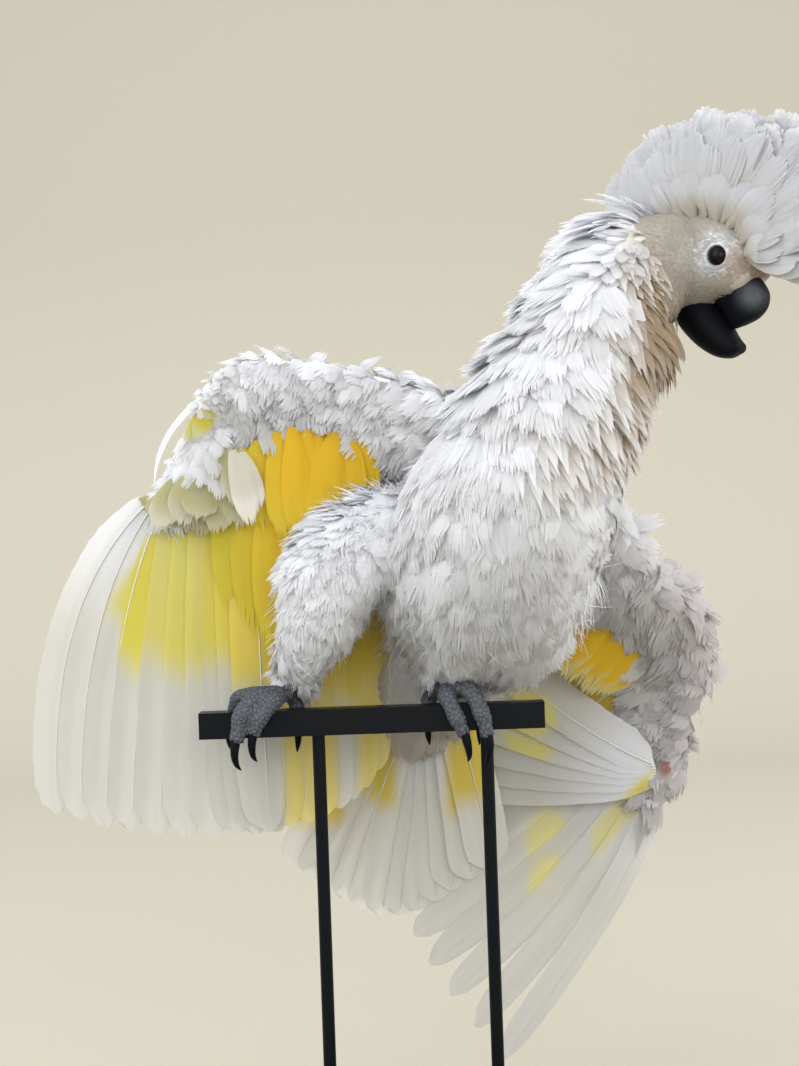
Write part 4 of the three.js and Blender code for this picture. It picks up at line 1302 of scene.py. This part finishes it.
def fan_colour(name, points, across, along):
    n = len(points)
    x, z = points[..., 0], points[..., 2]
    jitter = fan_rng.normal(0, 7, n)[:, None, None]
    # Painted shade: the quills are toned down from the coat's white and greyer towards the tips, as thin
    # vanes look against the backdrop; the tail's are painted lighter to offset the shade of the body.
    quill_shade_grey = QUILL_GREY * (1.3 if name == "tail" else 1.0)
    colour = blend(one_tone(points, SNOW * 0.85), quill_shade_grey, ramp(along, 0.15, 0.6))
    colour = colour * (1 - 0.07 * fan_rng.random((n, 1, points.shape[2], 1)))
    if name.endswith("_right"):
        amount, yolk = right_wing_yellow(points, jitter)
        amount = np.maximum(amount, 0.75 * stripes(points, jitter) * ramp(x, -96, -86))
        amount = amount * ramp(z, 385, 372)
        yellow = blend(one_tone(points, LEMON), YOLK, yolk * (0.35 + 0.65 * ramp(z, 225, 300)))
        return blend(colour, yellow, amount * (0.97 - 0.15 * fan_rng.random((n, 1, 1))))
    if name.endswith("_left"):
        near_arm = ramp(along, 0.46, 0.30) * (name == "secondaries_left")
        colour = blend(colour, YOLK, 0.9 * near_arm)
        spots = 0.85 * left_wing_spots(points, jitter * 1.4) * (0.55 + 0.45 * ramp(across, 0.7, 0.3))
        return blend(colour, LEMON * 1.15, spots)
    yellow = blend(one_tone(points, LEMON * 1.05), YOLK, 0.35 + 0.5 * ramp(np.abs(x + 20), 10, 50))
    return blend(colour, yellow, 0.9 * stripes(points, jitter * 0.6))


fan_lines = {}
for name in FANS:
    lines, outs, wide, roll = fan_quills(name)
    rows, columns = (44, 9)
    pack = spread_vanes(
        lines, outs, wide, rows, columns, "quill", 0.12, roll, 0.012, 0.22 if name != "tail" else 0.0,
        fan_rng, 0.6, 0.016,
    )
    piece = coat_piece(
        name + "_vanes", lines[:, 0], pack, fan_colour(name, pack[0], pack[2], pack[3]), quill_plume,
        "flight_feathers", strip_sheet(pack[2], pack[3]),
    )
    if name != "inner_left":
        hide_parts(name)
    fan_lines[name] = lines

# %% [markdown]
# The shaft of each big quill is a tapering tube under the vane's middle line, in a dull grey-tan that
# is painted shade: it reads as the thin shadow line between quills.

# %% Shafts
SHAFT_RINGS, SHAFT_SIDES = 22, 6
SHAFT_THICK = np.linspace(0.6, 0.1, SHAFT_RINGS)
# Painted shade: the shafts are darkened from ivory to a dull grey-tan, to read as shadow lines.
shaft_finish = mottled_finish("grey_shaded_shaft", 400, (0.47, 0.45, 0.39), (0.58, 0.56, 0.50), 0.35)
all_points, all_faces, seen = [], [], 0
for lines in fan_lines.values():
    for line in resample(lines, np.linspace(0, 0.96, SHAFT_RINGS)):
        middle = line + unit(FACING) * 0.15
        ring, *_ = limb_rings(middle, (1, 0.1, 0), SHAFT_THICK, SHAFT_THICK, SHAFT_SIDES)
        all_points.append(ring.reshape(-1, 3))
        all_faces.append(grid_faces(SHAFT_RINGS, SHAFT_SIDES, wrap=True) + seen)
        seen += SHAFT_RINGS * SHAFT_SIDES
shafts = build_piece("quill_shafts", np.concatenate(all_points), np.concatenate(all_faces), shaft_finish)
seat(shafts, "flight_feathers")
print("quills:", sum(len(lines) for lines in fan_lines.values()))

# %% [markdown]
# Coverts hide the quill roots. Rows run along the arm. The under side has long greater coverts, yolk
# yellow by the body, then lemon and grey further out, with shorter ones over their roots, small rows at
# the wrists and a soft edge along the right wing's front. The upper side has two white rows per wing.

# %% Covert rows
covert_rng = np.random.default_rng(5)


def covert_row(
    name, roots, tips, count, wide, colour_of, shape="round", bulge=3.0, untidy=2.0, toward=FACING,
    strands=13, ragged=0.05,
):
    """A row of feathers from the line `roots` to the line `tips`, arched towards one side."""
    n = count
    a, c = smooth_line(roots, n), smooth_line(tips, n)
    a = a + covert_rng.normal(0, untidy * 0.4, a.shape)
    c = c + covert_rng.normal(0, untidy, c.shape)
    toward = unit(np.asarray(toward, float))
    b = (a + c) / 2 + toward * bulge
    lines = bezier(a, b, c, np.linspace(0, 1, 5))
    outs = np.broadcast_to(toward, lines.shape).copy()
    roll = covert_rng.normal(0.12, 0.12, n)
    pack = spread_brush(
        lines, outs, wide * np.clip(covert_rng.normal(1, 0.08, n), 0.8, 1.2), strands, 8, shape, roll, 0.02,
        covert_rng, 0.8, ragged,
    )
    coat_piece(name, a, pack, colour_of(pack[0], pack[2], pack[3]), soft_plume)


def white_all(points, across, along):
    return one_tone(points, SNOW)


def tinted(base, tip, start=0.55, end=0.8):
    def colour_of(points, across, along):
        return blend(one_tone(points, base), np.asarray(tip, float), ramp(along, start, end))
    return colour_of


def golden(points, across, along):
    x = points[..., 0]
    colour = blend(one_tone(points, LEMON), YOLK, ramp(x, -128, -72))
    return blend(colour, LEMON * 1.02, 0.6 * ramp(along, 0.55, 1.0))


covert_row(
    "under_yolk_right", [(-38, 18, 352), (-62, 14, 362), (-84, 12, 366), (-104, 14, 362)],
    [(-48, 22, 276), (-66, 20, 250), (-88, 22, 248), (-110, 24, 276)], 11, 24, golden, bulge=5, strands=19,
    untidy=3.5, ragged=0.08,
)
covert_row(
    "under_yolk_right_short", [(-42, 12, 368), (-64, 8, 372), (-84, 8, 372), (-100, 12, 366)],
    [(-46, 12, 322), (-64, 8, 316), (-84, 10, 314), (-102, 16, 322)], 10, 17, golden, bulge=4, strands=15,
    untidy=3.0, ragged=0.08,
)
covert_row(
    "under_grey_right", [(-104, 16, 356), (-120, 20, 350), (-136, 24, 346), (-148, 26, 340)],
    [(-110, 14, 322), (-124, 16, 319), (-140, 20, 322), (-152, 24, 328)], 10, 15,
    tinted(PALE_LEMON * 0.85, np.array([0.60, 0.58, 0.42]), 0.6, 0.95), bulge=4, untidy=4, ragged=0.1,
)
covert_row(
    "under_grey_right_short", [(-104, 14, 366), (-120, 18, 360), (-138, 22, 352)],
    [(-108, 12, 334), (-124, 14, 330), (-142, 18, 328)], 9, 14,
    tinted(PALE_LEMON * 0.85, np.array([0.66, 0.64, 0.52]), 0.5, 0.9), bulge=4, untidy=3,
)
covert_row(
    "under_lone_right", [(-107, 4, 362), (-104, 3, 362)], [(-103, 6, 324), (-96, 5, 330)], 2, 12,
    tinted(np.array([0.72, 0.70, 0.60]), np.array([0.82, 0.81, 0.76])), bulge=3,
)
covert_row(
    "under_yolk_left", [(66, 33, 306), (82, 43, 292), (94, 53, 276), (102, 62, 258)],
    [(46, 49, 276), (50, 61, 248), (62, 70, 232), (80, 73, 226)], 9, 18,
    tinted(YOLK, PALE_LEMON * 1.05, 0.78, 0.97), bulge=5, strands=15,
)
covert_row(
    "under_yolk_left_short", [(70, 36, 304), (84, 48, 290), (98, 60, 274)],
    [(56, 42, 284), (66, 56, 264), (80, 66, 248)], 8, 15, tinted(YOLK, YOLK * 0.98), bulge=4,
)
covert_row(
    "under_white_left", [(112, 64, 262), (120, 70, 240), (122, 74, 220), (118, 78, 200)],
    [(92, 70, 236), (100, 76, 214), (104, 80, 196), (104, 84, 176)], 10, 13,
    tinted(PALE_LEMON, np.array([0.66, 0.64, 0.62]), 0.2, 0.5), bulge=3,
)
covert_row(
    "alula_left", [(114, 72, 192), (111, 76, 180), (106, 80, 168)],
    [(108, 78, 158), (104, 82, 148), (99, 84, 140)], 5, 7,
    tinted(np.array([0.42, 0.20, 0.15]), np.array([0.60, 0.58, 0.56]), 0.12, 0.4), "lance", bulge=2,
)
covert_row(
    "wrist_yellow_right", [(-112, 12, 390), (-120, 12, 384)], [(-124, 12, 378), (-132, 13, 369)], 4, 7,
    tinted(LEMON, PALE_LEMON), bulge=2,
)
edge_line = smooth_line(
    [(-111, 8, 396), (-124, 9, 389), (-138, 12, 376), (-147, 18, 360), (-150, 25, 345)], 5,
)[None]
pack = spread_vanes(
    edge_line, np.broadcast_to(unit(FACING), edge_line.shape), [3.6], 24, 3, "wisp", 0.1, np.zeros(1), 0.01,
    rng=covert_rng,
)
coat_piece("leading_edge_right", edge_line[:, 0], pack, white_all(pack[0], pack[2], pack[3]), soft_plume)
BACKWARD = (0.1, 1.0, 0.2)
covert_row(
    "upper_long_right", [(-20, 40, 356), (-60, 38, 362), (-100, 32, 362), (-146, 34, 342)],
    [(-27, 76, 250), (-62, 58, 226), (-106, 48, 222), (-180, 50, 256)], 22, 21, white_all, toward=BACKWARD,
    strands=15,
)
covert_row(
    "upper_short_right", [(-16, 38, 366), (-58, 38, 376), (-98, 34, 376), (-140, 32, 352)],
    [(-22, 58, 322), (-60, 48, 316), (-102, 42, 318), (-152, 42, 318)], 22, 16, white_all, toward=BACKWARD,
)
covert_row(
    "upper_long_left", [(70, 56, 296), (90, 74, 272), (110, 84, 244), (116, 92, 190)],
    [(36, 104, 244), (38, 112, 208), (48, 116, 172), (72, 116, 120)], 20, 21, white_all, toward=BACKWARD,
    strands=15,
)
covert_row(
    "upper_short_left", [(80, 44, 310), (102, 68, 286), (122, 80, 258), (122, 88, 206)],
    [(62, 80, 270), (74, 92, 244), (94, 98, 216), (104, 100, 166)], 20, 17, white_all, toward=BACKWARD,
)

# %% [markdown]
# The arm's own small coverts are scattered over the skin of the wing like the body coat. They are
# short, dense and fluffy, and a second, sparser set among them stands ruffled up. Towards the shoulder
# many are greyer. Each darkens towards its root, painted shade where it lies under the next, and the
# far left arm's are painted a warm grey-mauve as shade.

# %% Small coverts on the arms
# name, gap, length, width, rise, untidiness
SMALL_COVERTS = [("small", 3.0, 14, 8.0, 5.5, 0.20), ("ruffled", 3.9, 12, 8.0, 9.0, 0.35)]
for side in ("right", "left"):
    s = limb_store["arm_" + side]
    mine = on_limb("arm_" + side) & ~bald
    for part, gap, long, wide, rise, untidy in SMALL_COVERTS:
        root, out = scatter(mine, gap, coat_rng)
        n = len(root)
        gaps = np.linalg.norm(root[:, None] - s["line"][None], axis=2)
        j = gaps.argmin(1)
        way = unit(s["rear"] - s["lead"])[j] + 0.35 * s["run"][j]
        way = unit(unit(way) + untidy * coat_rng.normal(size=(n, 3)))
        size = np.clip(coat_rng.normal(1, 0.16, n), 0.6, 1.4)
        if side == "right":
            size = size * (1 - 0.6 * ramp(root[:, 2], 364, 380) * ramp(root[:, 0], -98, -108))
        way, swell, centre = open_puff(root, out, way, long * size, 1.0)
        lines, outs = walk_lines(
            root, way, long * size, rise * size * swell * np.clip(coat_rng.normal(1, 0.2, n), 0.4, 1.6),
        )
        pack = spread_brush(
            lines, outs, wide * size, 8, 4, "round", coat_rng.normal(0, untidy * 0.4, n), 0.10, coat_rng,
            0.85, 0.12, 1.6, 0.25,
        )
        pack = round_off(pack, centre, 0.9)
        base = blend(np.tile(SNOW, (n, 1)), GREY, 0.5 * (j < 26) * coat_rng.random(n))
        if side == "left":
            # Painted shade: the far left arm's coverts are warm grey-mauve.
            base = blend(
                base, np.array([0.60, 0.545, 0.53]),
                0.75 * ramp(root[:, 0], 84, 120) * (0.5 + 0.5 * coat_rng.random(n)),
            )
        colour = np.broadcast_to(base[:, None, None], pack[0].shape).copy()
        # Painted shade: every covert greys towards its root, where it lies under the next.
        colour = blend(colour, GREY * 0.8, 0.45 * ramp(pack[3], 0.5, 0.1))
        coat_piece(f"coverts_{part}_{side}", root, pack, colour, soft_plume)
print("with wings:", sum(piece_tris.values()), "triangles")

# %% [markdown]
# The crest: broad, soft white plumes that rise from the crown in a fan. The rows spread to both sides
# of the head's middle plane and get shorter outwards. Half of the plumes in the middle rows are turned
# on their shafts, so that the rows aren't a stack of level sheets.

# %% Crest plumes
CREST_ROOTS = [(23, 6), (20, 13), (12, 18), (3, 21), (-7, 22), (-17, 20), (-25, 15), (-31, 4)]
CREST_RIM = [(56, 27), (61, 49), (46, 69), (19, 77), (-11, 73), (-38, 63), (-60, 45), (-73, 18)]
crest_rng = np.random.default_rng(17)
# Distance from the middle plane on both sides, share of the full length, number of plumes, their width.
CREST_ROWS = [
    (0, 1.0, 13, 30), (4, 0.99, 13, 28), (8, 0.97, 13, 27), (11, 0.93, 12, 25), (14, 0.87, 12, 23),
    (17, 0.74, 12, 20), (18.5, 0.42, 17, 13),
]
CREST_HALF = 19  # half thickness of the crest's base
CREST_STRANDS, CREST_STEPS = 19, 8


def crest_row(offset, share, count, wide):
    """Middle lines, widths, offsets and turns of one row of plumes."""
    a, c = smooth_line(CREST_ROOTS, count), smooth_line(CREST_RIM, count)
    a = a * (1 - 0.012 * abs(offset)) + crest_rng.normal(0, 0.8, a.shape)
    lobes = 0.965 + 0.045 * np.sin(np.linspace(0, 1, count) * 29 + offset * 0.35)[:, None]
    c = a + (c - a) * share * lobes * np.clip(crest_rng.normal(0.985, 0.03, (count, 1)), 0.88, 1.02)
    c = c + crest_rng.normal(0, 1.5, c.shape)
    start = in_head(a[:, 0], a[:, 1], np.full(count, offset * 0.75))
    end = in_head(c[:, 0], c[:, 1], np.full(count, offset * 0.95))
    bend = (start + end) / 2 + crest_rng.normal(0, 1.0, start.shape) + RIGHT * offset * 0.45
    edge = np.abs(np.linspace(-1, 1, count)) ** 3
    turn = crest_rng.normal(0, 0.13, count) + 0.5 * edge * crest_rng.normal(0, 1, count)
    if abs(offset) <= 8:
        turn = turn + 0.75 * crest_rng.choice([-1, 0, 0, 1], count)
    lines = bezier(start, bend, end, np.linspace(0, 1, 5))
    return lines, np.full(count, float(wide)), np.full(count, offset), turn


rows = [
    crest_row(offset, share, count, wide)
    for depth, share, count, wide in CREST_ROWS for offset in sorted({-depth, depth})
]
lines, wide, offset, turns = (np.concatenate(column) for column in zip(*rows))
outs = np.broadcast_to(np.where(offset >= 0, 1.0, -1.0)[:, None, None] * RIGHT, lines.shape).copy()
wide = wide * np.clip(crest_rng.normal(1.05, 0.1, len(wide)), 0.8, 1.25)
pack = spread_brush(
    lines, outs, wide, CREST_STRANDS, CREST_STEPS, "plume", turns, 0.02, crest_rng, 0.85, 0.03, 2.1, 0.5,
)
# Painted shade: the crest's white is lowered against the near key light, and its outer rows turn beige
# towards their roots.
low_side = (np.abs(offset) / CREST_HALF) ** 1.5
warm = low_side[:, None, None] * ramp(pack[3], 0.75, 0.15) * 0.9
crest_colour = blend(one_tone(pack[0], SNOW * 0.76), CHEEK, warm)
streak = 1 - 0.06 * crest_rng.random((len(lines), CREST_STRANDS, 1, 1, 1))
by_strand = (len(lines), CREST_STRANDS, CREST_STEPS, 2, 3)
crest_colour = (crest_colour.reshape(by_strand) * streak).reshape(crest_colour.shape)
crest = coat_piece(
    "crest_plumes", lines[:, 0], pack, crest_colour, soft_plume, sheet=strip_sheet(pack[2], pack[3]),
)
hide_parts("crest")
print("crest plumes:", len(lines))

# %% [markdown]
# The bill is horn. The upper jaw curves down over the lower, which is a wide scoop; the mouth is a
# little open. The horn is black with a grey powder from the bird's own down, strongest on top, where
# one spot is also a painted highlight.

# %% Bill
UPPER_BILL = [
    ((12, 1), (0, -18), 9.0), ((18, 0.4), (4, -19.5), 9.6), ((24, -2.2), (8, -21.5), 9.4),
    ((29.4, -6.4), (11, -23), 8.6), ((31.4, -12.4), (13.4, -24.6), 7.3),
    ((29.6, -18.4), (15, -26.2), 5.7), ((25.6, -23), (16.4, -27.6), 3.9), ((20.6, -27.2), (17, -28.8), 1.9),
]
LOWER_BILL = [
    ((-9, -15), (-9, -35), 11.5), ((-3, -15.5), (-3, -38.5), 12.8), ((5, -19), (6, -42), 12.8),
    ((13.5, -25), (15, -43.5), 11.0),
    ((20.4, -30.2), (22, -42), 8.0), ((25.5, -33), (26.4, -38), 5.2),
]


def horn(name, pale_powder_highlight_tone):
    """Black horn with a grey powder as pale as the palest tone where thickest; one spot on the top is pushed
    towards that tone, partly powder and partly a painted highlight.
    """
    finish, nodes, links, shader = new_finish(name)
    powder = add_node(nodes, "TexNoise", {"Scale": 140, "Detail": 6, "Roughness": 0.7})
    palest = (pale_powder_highlight_tone, pale_powder_highlight_tone * 1.1, pale_powder_highlight_tone * 1.25)
    dust_highlight_ramp = two_tones(nodes, (0.0035, 0.004, 0.0055), palest, 0.58, 0.88)
    bump = add_node(nodes, "Bump", {"Strength": 0.45, "Distance": 0.0003})
    place = add_node(nodes, "TexCoord")
    # Painted highlight, partly powder: the spot on the upper jaw's top where the pale tone is strongest.
    highlight_spot = [v * MM for v in in_head(26.0, -9.0, 7.0)]
    reach = add_node(nodes, "VectorMath", {1: highlight_spot}, operation="DISTANCE")
    near = add_node(nodes, "MapRange", {"From Min": 0.003, "From Max": 0.012, "To Min": 0.24, "To Max": 0.0})
    powder_plus_highlight = add_node(nodes, "Math", operation="ADD")
    join(
        links,
        (place.outputs["Object"], reach.inputs[0]), (reach.outputs["Value"], near.inputs["Value"]),
        (powder.outputs[0], powder_plus_highlight.inputs[0]), (near.outputs[0], powder_plus_highlight.inputs[1]),
        (powder_plus_highlight.outputs[0], dust_highlight_ramp.inputs[0]), (dust_highlight_ramp.outputs[0], shader.inputs["Base Color"]),
        (powder.outputs[0], bump.inputs["Height"]), (bump.outputs[0], shader.inputs["Normal"]),
    )
    set_inputs(shader, {"Roughness": 0.4, "Specular IOR Level": 0.04})
    return finish


horn_finish = horn("black_horn", 0.12)
lower_horn = horn("clean_black_horn", 0.014)


def closed_piece(name, ring, material):
    """A tube of rings with a fan of triangles over each end."""
    rows, around, _ = ring.shape
    points = np.concatenate([ring.reshape(-1, 3), [ring[0].mean(0)], [ring[-1].mean(0)]])
    faces = grid_faces(rows, around, wrap=True)
    i = np.arange(around)
    nxt = (i + 1) % around
    last = (rows - 1) * around
    start = np.stack([np.full(around, rows * around), nxt, i], 1)
    end = np.stack([np.full(around, rows * around + 1), last + i, last + nxt], 1)
    return build_piece(
        name, points, np.concatenate([faces[:, [0, 1, 2]], faces[:, [0, 2, 3]], start, end]), material,
    )


upper = closed_piece("bill_upper_horn", head_rings(UPPER_BILL, 48, 40, 0.85), horn_finish)
face_outwards(upper.data)
seat(upper, "bill_horn", "bill_upper")
lower = closed_piece("bill_lower_horn", head_rings(LOWER_BILL, 40, 40, 0.8), lower_horn)
face_outwards(lower.data)
seat(lower, "bill_horn", "bill_lower")

# %% [markdown]
# Eyes are wet, nearly black spheres with a faint dark-brown iris, set under the lids. Claws are short
# hooked horn cones on the toe tips.

# %% Eyes and claws
eye_finish = mottled_finish(
    "dark_eye", 600, (0.002, 0.0015, 0.0015), (0.008, 0.005, 0.004), 0.05, specular=0.10, object_space=True,
)
lat = np.linspace(0.02, np.pi - 0.02, 26)
lon = np.linspace(0, 2 * np.pi, 40, endpoint=False)[None, :, None]
bulge = 1 + 0.06 * ramp(np.cos(lat), 0.7, 0.95)
for side in ("right", "left"):
    axis, other, third = eye_out[side], FACE, np.cross(eye_out[side], FACE)
    out_part = (EYE_RADIUS * bulge * np.cos(lat))[:, None, None] * axis
    round_part = (EYE_RADIUS * np.sin(lat))[:, None, None] * (np.cos(lon) * other + np.sin(lon) * third)
    eyeball = closed_piece("eyeball_" + side, eye_at[side] + out_part + round_part, eye_finish)
    face_outwards(eyeball.data)
    seat(eyeball, "eye", "eye_" + side)

CLAW_THICK = (2.5, 2.0, 1.35, 0.28)  # half widths from the toe to the point
claw_finish = lower_horn.copy()
claw_finish.name = "claw_horn_finish"
for side in ("right", "left"):
    for k, line in enumerate(FEET[side]["claws"], 1):
        rows = smooth_line([(*at, half) for at, half in zip(line, CLAW_THICK)], 22)
        ring, *_ = limb_rings(rows[:, :3], (1, 0.2, 0.1), rows[:, 3], rows[:, 3] * 1.12, 18)
        claw = closed_piece(f"claw_horn_{side}_{k}", ring, claw_finish)
        face_outwards(claw.data)
        seat(claw, "claw_horn", f"claw_{side}_{k}")

# %% [markdown]
# The bar and its stand keep their CAD shapes. They get a satin black paint over steel with a fine
# orange peel, and a small bevel so that the edges catch the light.

# %% Painted steel
paint_finish = mottled_finish(
    "satin_black_paint", 700, (0.0016, 0.002, 0.0028), (0.0045, 0.0055, 0.007), 0.32, specular=0.07,
    bump=0.12,
)
for name in ("perch_bar", "stand_base", "stand_rod_left", "stand_rod_right"):
    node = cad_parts[name]
    node.data.materials.clear()
    node.data.materials.append(paint_finish)
    if name in ("perch_bar", "stand_base"):
        edge = node.modifiers.new("edge", "BEVEL")
        edge.width = 0.0008
        edge.segments = 3
        edge.limit_method = "ANGLE"

# %% [markdown]
# Stage: a seamless pale sweep, a big soft key from the upper left, a broad bounce from the front, weak
# fills from the right, the right front and behind so that thin feathers glow, and an even sky. The
# camera stands level with the bird's breast, a little rolled.

# %% Backdrop and light
wall_finish = mottled_finish("warm_plaster", 0.6, (0.395, 0.368, 0.295), (0.420, 0.394, 0.318), 0.9)
FLOOR_FRONT, CURVE_START, CURVE_RADIUS, WALL_TOP, SWEEP_HALF = -6000, 1500, 900, 5000, 6000
profile = [(y, 0.0) for y in np.linspace(FLOOR_FRONT, CURVE_START, 16)]
for a in np.linspace(0.06, math.pi / 2, 24):
    profile.append((CURVE_START + CURVE_RADIUS * math.sin(a), CURVE_RADIUS - CURVE_RADIUS * math.cos(a)))
profile += [(CURVE_START + CURVE_RADIUS, z) for z in np.linspace(CURVE_RADIUS + 150, WALL_TOP, 10)]
across_line = np.linspace(-SWEEP_HALF, SWEEP_HALF, 9)
points = np.array([[(x, y, z - 0.05) for x in across_line] for y, z in profile]).reshape(-1, 3)
sweep = build_piece("paper_sweep", points, grid_faces(len(profile), 9), wall_finish)


def soft_light(name, at, aim, size, power, colour):
    data = bpy.data.lights.new(name, "AREA")
    data.shape, data.size, data.energy, data.color = "DISK", size, power, colour
    lamp = place_in_scene(bpy.data.objects.new(name, data))
    lamp.location = at
    lamp.rotation_euler = (Vector(aim) - Vector(at)).to_track_quat("-Z", "Y").to_euler()


soft_light("key_window", (-1.85, -1.2, 1.5), (0, 0, 0.32), 2.4, 40, (0.97, 0.985, 1.0))
soft_light("front_bounce", (0.1, -2.4, 0.95), (0, 0, 0.28), 1.7, 20, (0.98, 0.985, 1.0))
soft_light("right_front", (1.5, -1.5, 0.8), (0, 0, 0.3), 1.3, 8, (1.0, 0.98, 0.95))
soft_light("top_back", (-0.4, 1.2, 2.2), (0, 0, 0.4), 1.6, 13, (1.0, 1.0, 1.0))
soft_light("fill_card", (1.9, -0.2, 1.0), (0, 0, 0.3), 1.8, 20, (1.0, 0.97, 0.93))
world = bpy.data.worlds.new("even_sky")
world.use_nodes = True
sky = {"Color": (0.93, 0.95, 1.0, 1), "Strength": 1.5}
set_inputs(world.node_tree.nodes["Background"], sky)
bpy.context.scene.world = world

# %% Camera
CAMERA_AT = (-0.025, -0.9, 0.319)
CAMERA_ROLL = math.radians(2.0)
FOCAL_LENGTH, FILM_WIDTH = 60.79, 36
lens = bpy.data.cameras.new("camera")
lens.lens, lens.sensor_width, lens.sensor_fit = FOCAL_LENGTH, FILM_WIDTH, "AUTO"
camera = place_in_scene(bpy.data.objects.new("camera", lens))
right_of_view = Vector((math.cos(CAMERA_ROLL), 0, -math.sin(CAMERA_ROLL)))
up_of_view = Vector((math.sin(CAMERA_ROLL), 0, math.cos(CAMERA_ROLL)))
view_turn = Matrix((right_of_view, up_of_view, Vector((0, -1, 0)))).transposed().to_4x4()
camera.matrix_world = Matrix.Translation(CAMERA_AT) @ view_turn
bpy.context.scene.camera = camera
bpy.context.scene.view_settings.view_transform = "Standard"

# %% Triangle count, and the end
bpy.context.view_layer.update()
print(
    "coat triangles:", sum(piece_tris.values()), "largest piece:",
    max(piece_tris.items(), key=lambda kv: kv[1]),
)
